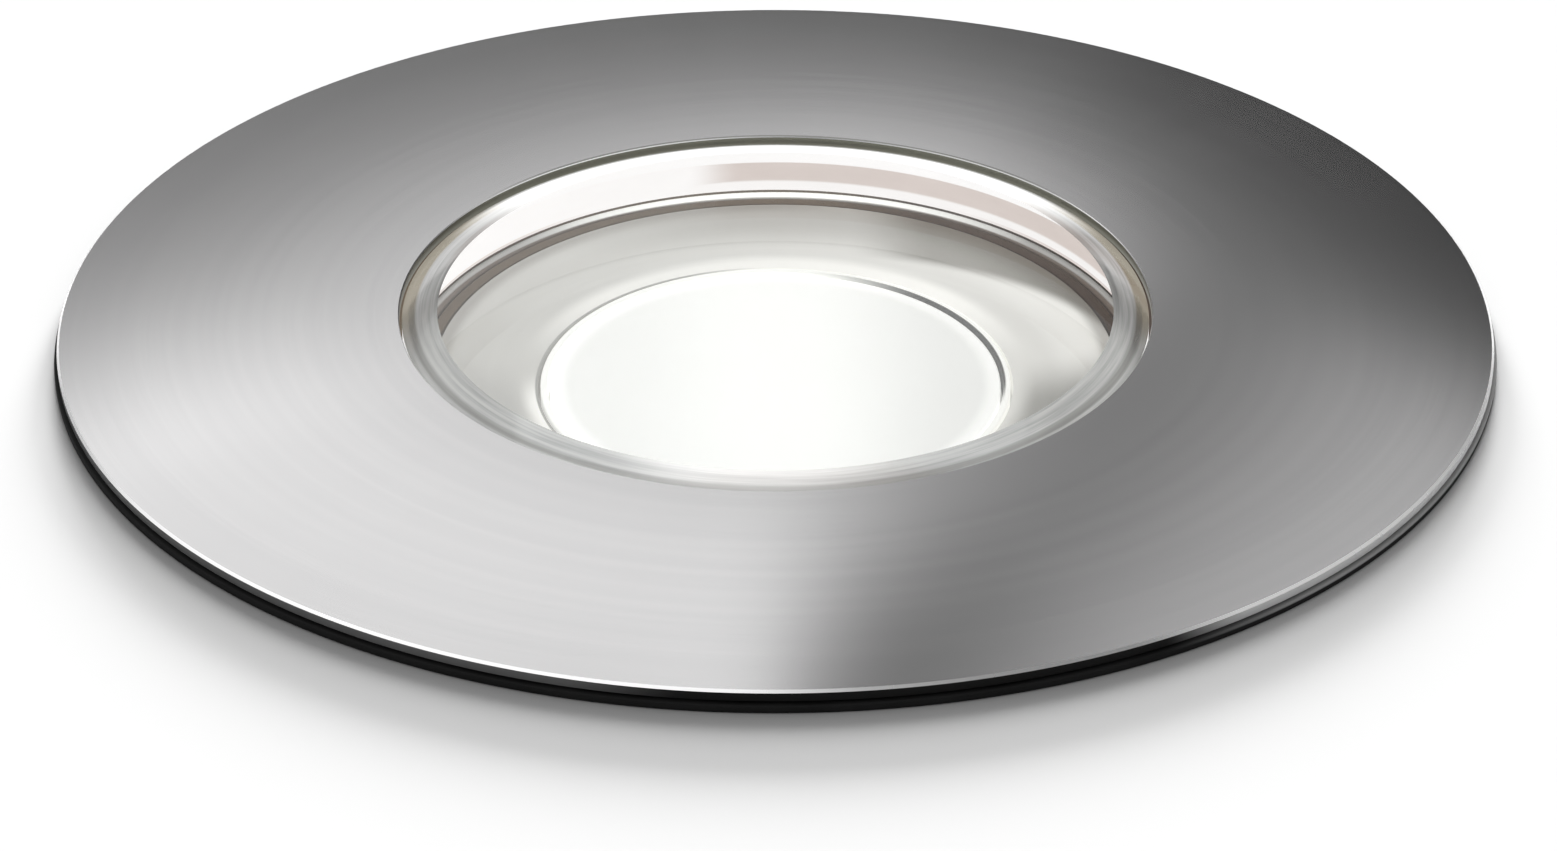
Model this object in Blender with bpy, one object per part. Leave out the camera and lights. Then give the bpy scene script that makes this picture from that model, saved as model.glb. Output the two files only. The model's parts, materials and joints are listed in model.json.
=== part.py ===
"""In-ground spotlight.

A brushed steel cover ring lies flat on a rubber gasket and frames a thick flush glass.
Under the glass an opal lens glows in a shallow dish, in a round cast housing that also
holds the lamp, its cooler and its power supply. The whole luminaire lifts straight up out
of a plastic sleeve that stays in the ground, where three sprung clips hold it.

Lengths are metres and +Z is up. The sleeve stands on z = 0. Luminaire pieces are placed
under an empty at ground level, the underside of the rim gasket's lip, so most of their
heights are negative. Each clip is built pointing along +X and turned to its place by its empties.
"""

from math import cos, hypot, pi, radians, sin, sqrt, tau

import bmesh
import bpy
from mathutils import Matrix, Vector

# Fits that all pieces share
SEAT_GAP = 0.0003           # between pieces that rest on, or turn in, one another
CUT_OVERRUN = 0.002         # how far a cutter passes the face it opens
MERGE_DISTANCE = 0.000001   # vertices closer than this are one

# Facets round a full turn, by how much of the piece shows
FINE_TURN = 64
SLEEVE_TURN = 40
COARSE_TURN = 32
FITTING_TURN = 20
SMALL_TURN = 12
HEX_SIDES = 6

# Glass, drive-over thickness, with a wide polished bevel round its top
GLASS_RADIUS = 0.04195
GLASS_THICKNESS = 0.0194
GLASS_BEVEL_WIDTH = 0.0040
GLASS_BEVEL_DROP = 0.0009

# Steel cover ring and the rubber gasket that it lies on
RING_WIDTH = 0.03775
RING_THICKNESS = 0.00115
RING_EDGE_CHAMFER = 0.00025
RIM_GASKET_THICKNESS = 0.0009
RIM_GASKET_WIDTH = 0.0123
RIM_GASKET_OVERHANG = 0.0004

# Studs pressed into the ring's underside, with the nuts that pull the housing to it
STUD_COUNT = 3
STUD_RADIUS = 0.0020
STUD_HEAD_RADIUS = 0.0035
STUD_HEAD_HEIGHT = 0.0010
NUT_CORNER_RADIUS = 0.0040
NUT_HEIGHT = 0.0032
STUD_END = 0.0020           # thread that shows past the nut

# Installation sleeve
SLEEVE_FLANGE_INSET = 0.0020    # flange edge inside the cover ring's edge
SLEEVE_FLANGE_WIDTH = 0.0110
SLEEVE_FLANGE_THICKNESS = 0.0030
SLEEVE_WALL = 0.0030
BASE_THICKNESS = 0.0030         # plate that closes the sleeve's lower end
BASE_RIM_HEIGHT = 0.0060        # rim on the plate that stands inside the sleeve
BASE_RIM_WALL = 0.0022
BASE_DRAIN_RADIUS = 0.0220
SLEEVE_BAND_HEIGHT = 0.0040     # ring rib round the outside, halfway down
SLEEVE_BAND_DEPTH = 0.0025
GUSSET_COUNT = 8
GUSSET_HEIGHT = 0.0300
GUSSET_THICKNESS = 0.0025
GUSSET_FOOT = 0.0015            # width that is left at a gusset's lower end
ENTRY_RADIUS = 0.0130           # cable entry on each side
ENTRY_WALL = 0.0030
ENTRY_REACH = 0.0060            # how far the entry collar stands out of the wall
ENTRY_RISE = 0.0050             # from the base plate up to the entry collar
CABLE_ROOM = 0.0260             # under the gland, for the cable's bend

# Cast housing: flange, glass pocket, ledge, lamp chamber and driver chamber
FLANGE_THICKNESS = 0.0035
FLANGE_CLEARANCE = 0.0050       # between the flange and the sleeve's wall
GLASS_POCKET_GAP = 0.00045
EDGE_SEAL_DROP = 0.0098         # from the flange's top to the seal groove
EDGE_SEAL_HEIGHT = 0.0029
EDGE_SEAL_DEPTH = 0.0012
LEDGE_WIDTH = 0.0035
LEDGE_THICKNESS = 0.00615
SEAT_GASKET_WIDTH = 0.0016
SEAT_GASKET_THICKNESS = 0.0008
CHAMBER_STEP = 0.0009           # how much narrower the lamp chamber is than the pocket
SHOULDER_WIDTH = 0.0021         # step that the heat sink is pushed up against
HOUSING_WALL = 0.0030

# Lamp: dish, opal lens and its collar, mixing cup, LED and board
LENS_DEPTH = 0.0028             # from the glass's underside to the lens's face
LENS_THICKNESS = 0.0025
COLLAR_WALL = 0.0008
COLLAR_PROUD = 0.0002
DISH_WIDTH = 0.0116             # from the lens's collar out to the dish's edge
DISH_THICKNESS = 0.0010
DISH_ARC_STEPS = 4
DISH_LIP_WIDTH = 0.0009
MIXING_DEPTH = 0.01385
CUP_CLEARANCE = 0.0029          # between the cup and the ledge that it stands inside
CUP_LAP = 0.0009                # how far the cup's top reaches under the lens
CUP_FLANGE_GAP = 0.0005
CUP_FLANGE_THICKNESS = 0.0030
CUP_SCREW_COUNT = 3
CUP_SCREW_RADIUS = 0.0012
CUP_SCREW_LENGTH = 0.0060
LED_RADIUS = 0.0090
LED_HEIGHT = 0.0013
LED_HOLDER_WALL = 0.0027
LED_HOLDER_HEIGHT = 0.0025
LEAD_ROOM = 0.0018              # over the board, for the soldered leads
BOARD_RADIUS = 0.0183
BOARD_THICKNESS = 0.0016
PAD_THICKNESS = 0.0010

# Heat sink and the ring that keeps it up
SINK_THICKNESS = 0.0050
FIN_HEIGHT = 0.0155
FIN_THICKNESS = 0.0020
FIN_PITCH = 0.0090
FIN_EDGE_ROOM = 0.0020          # between the fins' ends and the retaining ring
CIRCLIP_THICKNESS = 0.0012
CIRCLIP_WIDTH = 0.0028
CIRCLIP_GRIP = 0.0007           # how far the ring sits in its groove
CIRCLIP_OPEN_ANGLE = radians(24)

# Driver, terminal block and the two leads to the board
DRIVER_SIZE = (0.0540, 0.0270, 0.0220)
DRIVER_EDGE_RADIUS = 0.0020
DRIVER_OFFSET = 0.0010          # from the middle of the cap to the driver's near side
DRIVER_WALL_ROOM = 0.0010       # between the driver's far corners and the cap's spigot
DRIVER_HEADROOM = 0.0060
DRIVER_EAR_SIZE = (0.0060, 0.0080, 0.0020)
DRIVER_SCREW_RADIUS = 0.0015
TERMINAL_SIZE = (0.0240, 0.0140, 0.0150)
TERMINAL_ANGLE = radians(221.76)    # way from the middle out to its far corner
TERMINAL_WALL_ROOM = 0.00236        # from that corner to the cap's spigot
TERMINAL_WAYS = 3
TERMINAL_HOLE_RADIUS = 0.0017
TERMINAL_HOLE_DEPTH = 0.0060
TERMINAL_SCREW_SETBACK = 0.0045
LEAD_RADIUS = 0.0008
LEAD_SPREAD = 0.0045            # each lead's distance from the middle plane
LEAD_HOLE_PLACE = 0.0140        # lead holes' distance from the lamp's axis
LEAD_HOLE_RADIUS = 0.0016
LEAD_DRIVER_RISE = 0.0120       # where a lead leaves the driver, over its base
LEAD_TIP = 0.0008               # lead that stands over the board
LEAD_STEPS = 3

# Base cap, its o-ring and screws
CAP_THICKNESS = 0.0040
SPIGOT_HEIGHT = 0.0043
SPIGOT_WALL = 0.0034
CAP_RING_RADIUS = 0.0008        # section of the o-ring
CAP_RING_GROOVE = 0.0020
CAP_RING_STEPS = 6
BOSS_COUNT = 4
BOSS_STANDOFF = 0.0034          # from the housing's wall to a boss's middle
BOSS_RADIUS = 0.0045
BOSS_HEIGHT = 0.0160
CAP_SCREW_RADIUS = 0.0020
CAP_SCREW_LENGTH = 0.0130
CAP_SCREW_BORE = 0.0120

# Cable gland and vent plug
GLAND_ANGLE = radians(-45)
GLAND_WALL_ROOM = 0.00294       # between the locknut's corner and the cap's spigot
GLAND_THREAD_RADIUS = 0.0080
GLAND_BORE_RADIUS = 0.0047
GLAND_HEX_RADIUS = 0.0115
GLAND_HEX_HEIGHT = 0.0050
GLAND_WASHER_WIDTH = 0.0025
GLAND_WASHER_THICKNESS = 0.0012
GLAND_LOCKNUT_HEIGHT = 0.0040
GLAND_BARREL_LENGTH = 0.0100
GLAND_SEAL_WALL = 0.0018
GLAND_SEAL_BORE = 0.0042
GLAND_SEAL_LENGTH = 0.0090
GLAND_NUT_GRIP = 0.0115         # length of the dome nut round the barrel
GLAND_DOME_HEIGHT = 0.0050
GLAND_NUT_LAP = 0.0010          # how far the nut's hexagon reaches down over its dome
GLAND_MOUTH_RADIUS = 0.0046
VENT_EDGE_ROOM = 0.0068         # from the plug's head to the cap's edge
VENT_RADIUS = 0.0068
VENT_HEIGHT = 0.0030
VENT_THREAD_RADIUS = 0.0040
VENT_SLOT_COUNT = 4
VENT_SLOT_WIDTH = 0.0012
VENT_SLOT_DEPTH = 0.0010

# Spring clips: bracket, arm, pin, torsion spring and screw
CLIP_COUNT = 3
PIN_DROP = 0.0094               # from the housing flange down to the pin
PIN_STANDOFF = 0.0069           # from the housing's wall out to the pin
PIN_RADIUS = 0.0015
PIN_HEAD_RADIUS = 0.0024
PIN_HEAD_HEIGHT = 0.0010
PIN_TAIL = 0.0010
PAD_PROUD = 0.0014              # flat pad on the housing, out of its round wall
PAD_ROOT = 0.0021               # how far the pad reaches into the wall
BRACKET_THICKNESS = 0.0015
BRACKET_HEIGHT = 0.0200
BRACKET_TOP = 0.0040            # from the pin up to the bracket's top edge
BRACKET_EAR_REACH = 0.0035      # from the pin out to the ears' edge
BRACKET_EAR_HEIGHT = 0.0090
BRACKET_SCREW_DROP = 0.0105     # from the pin down to the screw
BRACKET_SCREW_RADIUS = 0.0015
BRACKET_SCREW_LENGTH = 0.0045
ARM_WIDTH = 0.0160
ARM_THICKNESS = 0.0010
ARM_EYE_WALL = 0.0012
ARM_DROP = 0.0330               # from the pin down to the elbow that grips the sleeve
ARM_FOOT_DROP = 0.0070
ARM_FOOT_INSET = 0.0050
ARM_NOTCH_REACH = 0.0080        # notch for the spring, measured out from the pin
SPRING_WIRE_RADIUS = 0.00045
SPRING_TURNS = 3
SPRING_PITCH = 0.0014
SPRING_TURN_STEPS = 8
SPRING_LEG = 0.0065

# Screw heads, as shares of the thread's radius
HEAD_RADIUS_SHARE = 1.7
HEAD_HEIGHT_SHARE = 1.35
SOCKET_RADIUS_SHARE = 0.85
SOCKET_DEPTH_SHARE = 0.75

# Plan radii, from the glass outwards
ring_inner = GLASS_RADIUS + SEAT_GAP
ring_outer = ring_inner + RING_WIDTH
pocket_radius = GLASS_RADIUS + GLASS_POCKET_GAP
ledge_radius = pocket_radius - LEDGE_WIDTH
dish_outer = ledge_radius - SEAT_GAP
dish_inner = dish_outer - DISH_WIDTH
lens_radius = dish_inner - SEAT_GAP - COLLAR_WALL - SEAT_GAP
chamber_radius = pocket_radius - CHAMBER_STEP

# The housing is wide enough for the lamp chamber and for the driver's far corners
driver_far_side = DRIVER_OFFSET + DRIVER_SIZE[1]
driver_corner = hypot(DRIVER_SIZE[0] / 2, driver_far_side)
ear_corner = hypot(DRIVER_SIZE[0] / 2 + DRIVER_EAR_SIZE[0],
                   driver_far_side - (DRIVER_SIZE[1] - DRIVER_EAR_SIZE[1]) / 2)
driver_reach = max(driver_corner, ear_corner) + DRIVER_WALL_ROOM
sink_bore = max(chamber_radius + SHOULDER_WIDTH, driver_reach + SPIGOT_WALL + SEAT_GAP)
spigot_inner = sink_bore - SEAT_GAP - SPIGOT_WALL
housing_radius = sink_bore + HOUSING_WALL
sleeve_flange_radius = ring_outer - SLEEVE_FLANGE_INSET
sleeve_inner = sleeve_flange_radius - SLEEVE_FLANGE_WIDTH
sleeve_outer = sleeve_inner + SLEEVE_WALL
flange_radius = sleeve_inner - FLANGE_CLEARANCE
stud_circle = (housing_radius + flange_radius) / 2
sink_radius = sink_bore - SEAT_GAP

# Heights over the ground, from the cover ring down to the gland's mouth
ring_base = RIM_GASKET_THICKNESS + SEAT_GAP
ring_top = ring_base + RING_THICKNESS
flange_top = ring_base - SEAT_GAP
flange_base = flange_top - FLANGE_THICKNESS
glass_base = ring_top - GLASS_THICKNESS
ledge_top = glass_base - SEAT_GAP
ledge_base = ledge_top - LEDGE_THICKNESS
lens_top = glass_base - LENS_DEPTH
lens_base = lens_top - LENS_THICKNESS
cup_top = lens_base - SEAT_GAP
cup_roof = cup_top - MIXING_DEPTH
board_top = cup_roof - LEAD_ROOM
board_base = board_top - BOARD_THICKNESS
pad_top = board_base - SEAT_GAP
pad_base = pad_top - PAD_THICKNESS
sink_top = pad_base - SEAT_GAP
cup_base = sink_top + SEAT_GAP
sink_base = sink_top - SINK_THICKNESS
circlip_top = sink_base - SEAT_GAP
circlip_base = circlip_top - CIRCLIP_THICKNESS
fin_base = sink_base - FIN_HEIGHT
driver_top = fin_base - DRIVER_HEADROOM
driver_base = driver_top - DRIVER_SIZE[2]
cap_top = driver_base - SEAT_GAP
cap_base = cap_top - CAP_THICKNESS
housing_base = cap_top + SEAT_GAP
washer_base = cap_base - SEAT_GAP - GLAND_WASHER_THICKNESS
hex_base = washer_base - SEAT_GAP - GLAND_HEX_HEIGHT
barrel_base = hex_base - GLAND_BARREL_LENGTH
gland_base = hex_base - SEAT_GAP - GLAND_NUT_GRIP - GLAND_DOME_HEIGHT

# The sleeve is as tall as the luminaire's depth and the cable's room
ground_level = BASE_THICKNESS + CABLE_ROOM - gland_base
sleeve_top = ground_level
sleeve_bottom = BASE_THICKNESS + SEAT_GAP

# Places on the cap, out to its spigot or its edge
gland_reach = spigot_inner - GLAND_WALL_ROOM - GLAND_HEX_RADIUS
gland_place = (gland_reach * cos(GLAND_ANGLE), gland_reach * sin(GLAND_ANGLE))
terminal_reach = spigot_inner - TERMINAL_WALL_ROOM
terminal_place = (terminal_reach * cos(TERMINAL_ANGLE) + TERMINAL_SIZE[0] / 2,
                  terminal_reach * sin(TERMINAL_ANGLE) + TERMINAL_SIZE[1] / 2)
vent_place = (0, VENT_EDGE_ROOM + VENT_RADIUS - housing_radius)

# The pin of a clip, from the luminaire's axis and the ground
pin_radius_out = housing_radius + PIN_STANDOFF
pin_height = flange_base - PIN_DROP

# Colour, roughness and metallic value of each finish
FINISHES = {
    "brushed_steel": ((0.62, 0.61, 0.60), 0.34, 1.0),
    "bright_steel": ((0.70, 0.70, 0.70), 0.22, 1.0),
    "zinc": ((0.60, 0.61, 0.62), 0.35, 1.0),
    "black_rubber": ((0.018, 0.018, 0.019), 0.75, 0.0),
    "white_silicone": ((0.86, 0.86, 0.83), 0.55, 0.0),
    "clear_glass": ((0.90, 0.95, 0.93), 0.03, 0.0),
    "cast_housing": ((0.12, 0.115, 0.105), 0.55, 0.6),
    "satin_aluminium": ((0.72, 0.71, 0.69), 0.30, 1.0),
    "opal": ((0.95, 0.94, 0.90), 0.45, 0.0),
    "white_plastic": ((0.88, 0.88, 0.86), 0.45, 0.0),
    "led_yellow": ((0.86, 0.66, 0.12), 0.50, 0.0),
    "board_white": ((0.80, 0.82, 0.80), 0.45, 0.0),
    "pad_grey": ((0.45, 0.46, 0.48), 0.80, 0.0),
    "sink_aluminium": ((0.66, 0.67, 0.68), 0.40, 1.0),
    "driver_case": ((0.82, 0.82, 0.80), 0.55, 0.0),
    "terminal_green": ((0.10, 0.34, 0.16), 0.50, 0.0),
    "lead_red": ((0.55, 0.03, 0.02), 0.50, 0.0),
    "lead_black": ((0.03, 0.03, 0.03), 0.50, 0.0),
    "black_plastic": ((0.030, 0.030, 0.032), 0.60, 0.0),
    "spring_steel": ((0.48, 0.48, 0.50), 0.28, 1.0),
}


def clear_scene():
    for item in list(bpy.data.objects):
        bpy.data.objects.remove(item, do_unlink=True)


def finish_material(piece_name, finish):
    """The material of one kind of piece, shared by the piece's copies."""
    known = bpy.data.materials.get(piece_name)
    if known:
        return known
    colour, roughness, metallic = FINISHES[finish]
    made = bpy.data.materials.new(piece_name)
    made.use_nodes = True
    shader = made.node_tree.nodes["Principled BSDF"]
    shader.inputs["Base Color"].default_value = (*colour, 1.0)
    shader.inputs["Roughness"].default_value = roughness
    shader.inputs["Metallic"].default_value = metallic
    return made


# Shapes, each added to a bmesh

def add_turned(shape, outline, turn, closed=True):
    """Spin an outline of (radius, height) points round Z; an open one ends on the axis."""
    points = [shape.verts.new((radius, 0, height)) for radius, height in outline]
    edges = [shape.edges.new(pair) for pair in zip(points, points[1:])]
    if closed:
        edges.append(shape.edges.new((points[-1], points[0])))
    bmesh.ops.spin(shape, geom=points + edges, cent=(0, 0, 0), axis=(0, 0, 1),
                   angle=tau, steps=turn, use_merge=True)
    bmesh.ops.remove_doubles(shape, verts=shape.verts[:], dist=MERGE_DISTANCE)


def add_cylinder(shape, radius, low, high, turn=SMALL_TURN, place=(0, 0), spin=0.0):
    """A closed cylinder along Z between two heights; spin turns its first corner."""
    middle = Matrix.Translation((place[0], place[1], (low + high) / 2))
    bmesh.ops.create_cone(shape, cap_ends=True, cap_tris=False, segments=turn,
                          radius1=radius, radius2=radius, depth=high - low,
                          matrix=middle @ Matrix.Rotation(spin, 4, "Z"))


def add_box(shape, low, high):
    low, high = Vector(low), Vector(high)
    size = Matrix.Diagonal((high - low).to_4d())
    size[3][3] = 1.0
    bmesh.ops.create_cube(shape, size=1.0,
                          matrix=Matrix.Translation((low + high) / 2) @ size)


def add_prism(shape, outline, start, end, axis="Y"):
    """Extrude an outline of (x, z) points along Y, or of (x, y) points along Z."""
    if axis == "Y":
        corners = [(x, start, z) for x, z in outline]
        travel = (0, end - start, 0)
    else:
        corners = [(x, y, start) for x, y in outline]
        travel = (0, 0, end - start)
    face = shape.faces.new([shape.verts.new(corner) for corner in corners])
    grown = bmesh.ops.extrude_face_region(shape, geom=[face], use_keep_orig=True)
    moved = [item for item in grown["geom"] if isinstance(item, bmesh.types.BMVert)]
    bmesh.ops.translate(shape, verts=moved, vec=travel)


def along_x(shape):
    """Turn a shape that was built along Z so that its +Z points along +X."""
    bmesh.ops.rotate(shape, verts=shape.verts[:], cent=(0, 0, 0),
                     matrix=Matrix.Rotation(pi / 2, 3, "Y"))


def along_y(shape):
    """Turn a shape that was built along Z so that its +Z points along +Y."""
    bmesh.ops.rotate(shape, verts=shape.verts[:], cent=(0, 0, 0),
                     matrix=Matrix.Rotation(-pi / 2, 3, "X"))


def turned_about(shape, angle):
    bmesh.ops.rotate(shape, verts=shape.verts[:], cent=(0, 0, 0),
                     matrix=Matrix.Rotation(angle, 3, "Z"))


# Objects

def object_from(shape, name):
    """Close a bmesh into an object, with its faces pointing out."""
    bmesh.ops.recalc_face_normals(shape, faces=shape.faces[:])
    mesh = bpy.data.meshes.new(name)
    shape.to_mesh(mesh)
    shape.free()
    made = bpy.data.objects.new(name, mesh)
    bpy.context.scene.collection.objects.link(made)
    return made


def combine(body, shape, operation):
    """Join a shape to a body, or cut it out of the body, and keep the result as a mesh."""
    tool = object_from(shape, body.name + "_tool")
    step = body.modifiers.new(operation, "BOOLEAN")
    step.operation = operation
    step.solver = "EXACT"
    step.object = tool
    depsgraph = bpy.context.evaluated_depsgraph_get()
    before = body.data
    body.data = bpy.data.meshes.new_from_object(body.evaluated_get(depsgraph))
    body.modifiers.clear()
    bpy.data.meshes.remove(before)
    tool_mesh = tool.data
    bpy.data.objects.remove(tool)
    bpy.data.meshes.remove(tool_mesh)


def join(body, shape):
    combine(body, shape, "UNION")


def cut(body, shape):
    combine(body, shape, "DIFFERENCE")


def settle(body, kind, finish, parent, place=(0, 0, 0)):
    """Smooth a finished body, give it its material and set it under its parent."""
    body.data.shade_smooth()
    body.data.set_sharp_from_angle(angle=radians(32))
    body.data.materials.clear()
    body.data.materials.append(finish_material(kind, finish))
    body.data.name = kind
    body.location = place
    body.parent = parent
    return body


def turned_piece(name, outline, turn, finish, parent, height=0.0, closed=True):
    shape = bmesh.new()
    add_turned(shape, outline, turn, closed)
    return settle(object_from(shape, name), name, finish, parent, (0, 0, height))


def copies(first, names, parents, places):
    """Set copies of a piece, which share its mesh, under their own parents."""
    for name, parent, place in zip(names, parents, places):
        twin = bpy.data.objects.new(name, first.data)
        bpy.context.scene.collection.objects.link(twin)
        twin.parent = parent
        twin.location = place


def empty(name, parent=None, place=(0, 0, 0), turn=0.0):
    made = bpy.data.objects.new(name, None)
    bpy.context.scene.collection.objects.link(made)
    made.parent = parent
    made.location = place
    made.rotation_euler = (0, 0, turn)
    return made


def numbered(stem, count):
    return [f"{stem}_{index + 1}" for index in range(count)]


def round_the_axis(count, radius, height, start=0.0):
    """Evenly spaced places on a circle."""
    angles = [start + tau * index / count for index in range(count)]
    return [(radius * cos(angle), radius * sin(angle), height) for angle in angles]


def ring_outline(inner, outer, low, high):
    return [(outer, high), (outer, low), (inner, low), (inner, high)]


# Fasteners

def head_height(thread_radius):
    return thread_radius * HEAD_HEIGHT_SHARE


def screw_body(name, thread_radius, length):
    """Socket screw: its head stands on z = 0 and its thread points down."""
    head_radius = thread_radius * HEAD_RADIUS_SHARE
    top = head_height(thread_radius)
    outline = [(0, top), (head_radius, top), (head_radius, 0), (thread_radius, 0),
               (thread_radius, -length), (0, -length)]
    shape = bmesh.new()
    add_turned(shape, outline, SMALL_TURN, closed=False)
    body = object_from(shape, name)
    socket = bmesh.new()
    floor = top - thread_radius * SOCKET_DEPTH_SHARE
    add_cylinder(socket, thread_radius * SOCKET_RADIUS_SHARE, floor, top + CUT_OVERRUN, HEX_SIDES)
    cut(body, socket)
    return body


def screws(stem, count, thread_radius, length, finish, parents, places, flip=False):
    names = numbered(stem, count)
    first = screw_body(names[0], thread_radius, length)
    if flip:
        first.data.transform(Matrix.Rotation(pi, 4, "X"))
    settle(first, stem, finish, parents[0], places[0])
    copies(first, names[1:], parents[1:], places[1:])


# Cover ring, glass and their seals

def build_cover_ring(luminaire):
    edge = RING_EDGE_CHAMFER
    outline = [
        (ring_outer - edge, RING_THICKNESS), (ring_outer, RING_THICKNESS - edge), (ring_outer, 0),
        (ring_inner, 0), (ring_inner, RING_THICKNESS - edge), (ring_inner + edge, RING_THICKNESS)]
    turned_piece("cover_ring", outline, FINE_TURN, "brushed_steel", luminaire, ring_base)


def build_rim_gasket(luminaire):
    """Flat gasket whose lip seals on the ground, round the sleeve's flange."""
    outer = ring_outer + RIM_GASKET_OVERHANG
    inner = outer - RIM_GASKET_WIDTH
    lip = sleeve_flange_radius + SEAT_GAP
    outline = [(outer, RIM_GASKET_THICKNESS), (outer, 0), (lip, 0), (lip, SEAT_GAP),
               (inner, SEAT_GAP), (inner, RIM_GASKET_THICKNESS)]
    turned_piece("rim_gasket", outline, FINE_TURN, "black_rubber", luminaire)


def build_glass(luminaire):
    """Round block with a wide shallow bevel on top and a small chamfer below."""
    low_edge = GLASS_THICKNESS - GLASS_BEVEL_DROP
    outline = [
        (0, GLASS_THICKNESS), (GLASS_RADIUS - GLASS_BEVEL_WIDTH, GLASS_THICKNESS),
        (GLASS_RADIUS, low_edge), (GLASS_RADIUS, 0), (0, 0)]
    turned_piece("glass", outline, FINE_TURN, "clear_glass", luminaire, glass_base, closed=False)


def build_glass_seals(luminaire):
    seat_outer = pocket_radius - SEAT_GAP
    seat = ring_outline(seat_outer - SEAT_GASKET_WIDTH, seat_outer, 0, SEAT_GASKET_THICKNESS)
    turned_piece("glass_seat_gasket", seat, COARSE_TURN, "white_silicone", luminaire,
                 ledge_top - SEAT_GASKET_THICKNESS)
    edge_inner = GLASS_RADIUS + SEAT_GAP
    edge = ring_outline(edge_inner, edge_inner + EDGE_SEAL_DEPTH, 0, EDGE_SEAL_HEIGHT)
    turned_piece("glass_edge_seal", edge, COARSE_TURN, "black_rubber", luminaire,
                 flange_top - EDGE_SEAL_DROP - SEAT_GAP - EDGE_SEAL_HEIGHT)


def build_ring_studs(luminaire):
    """Studs stand head up in the flange's counterbores, with a nut under the flange."""
    nut_top = flange_base - SEAT_GAP
    stud_top = ring_base - SEAT_GAP
    head_base = -STUD_HEAD_HEIGHT
    tip = nut_top - NUT_HEIGHT - STUD_END - stud_top
    outline = [(0, 0), (STUD_HEAD_RADIUS, 0), (STUD_HEAD_RADIUS, head_base),
               (STUD_RADIUS, head_base), (STUD_RADIUS, tip), (0, tip)]
    shape = bmesh.new()
    add_turned(shape, outline, SMALL_TURN, closed=False)
    names = numbered("ring_stud", STUD_COUNT)
    places = round_the_axis(STUD_COUNT, stud_circle, stud_top)
    stud = settle(object_from(shape, names[0]), "ring_stud", "bright_steel", luminaire, places[0])
    copies(stud, names[1:], [luminaire] * STUD_COUNT, places[1:])

    shape = bmesh.new()
    add_cylinder(shape, NUT_CORNER_RADIUS, -NUT_HEIGHT, 0, HEX_SIDES)
    names = numbered("ring_nut", STUD_COUNT)
    places = round_the_axis(STUD_COUNT, stud_circle, nut_top)
    nut = object_from(shape, names[0])
    bore = bmesh.new()
    add_cylinder(bore, STUD_RADIUS + SEAT_GAP, -NUT_HEIGHT - CUT_OVERRUN, CUT_OVERRUN)
    cut(nut, bore)
    settle(nut, "ring_nut", "zinc", luminaire, places[0])
    copies(nut, names[1:], [luminaire] * STUD_COUNT, places[1:])


# Housing

def housing_outline():
    """Half section of the housing, down its outside and up its stepped bore."""
    groove_radius = GLASS_RADIUS + SEAT_GAP + EDGE_SEAL_DEPTH + SEAT_GAP
    groove_top = flange_top - EDGE_SEAL_DROP
    groove_base = groove_top - EDGE_SEAL_HEIGHT - 2 * SEAT_GAP
    seat_inner = pocket_radius - SEAT_GASKET_WIDTH - 2 * SEAT_GAP
    seat_floor = ledge_top - SEAT_GASKET_THICKNESS - SEAT_GAP
    clip_groove = sink_bore + CIRCLIP_GRIP + SEAT_GAP
    return [
        (flange_radius, flange_top), (flange_radius, flange_base),
        (housing_radius, flange_base), (housing_radius, housing_base),
        (sink_bore, housing_base), (sink_bore, circlip_base - SEAT_GAP),
        (clip_groove, circlip_base - SEAT_GAP), (clip_groove, sink_base),
        (sink_bore, sink_base), (sink_bore, sink_top + SEAT_GAP),
        (chamber_radius, sink_top + SEAT_GAP), (chamber_radius, ledge_base),
        (ledge_radius, ledge_base), (ledge_radius, ledge_top),
        (seat_inner, ledge_top), (seat_inner, seat_floor),
        (pocket_radius, seat_floor), (pocket_radius, groove_base),
        (groove_radius, groove_base), (groove_radius, groove_top),
        (pocket_radius, groove_top), (pocket_radius, flange_top)]


def boss_places(height):
    return round_the_axis(BOSS_COUNT, housing_radius + BOSS_STANDOFF, height, pi / BOSS_COUNT)


def clip_angles():
    """Clips stand between the studs."""
    return [pi / STUD_COUNT + tau * index / CLIP_COUNT for index in range(CLIP_COUNT)]


def bracket_half_width():
    return ARM_WIDTH / 2 + SEAT_GAP + BRACKET_THICKNESS


def pad_face():
    return housing_radius + PAD_PROUD


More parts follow.
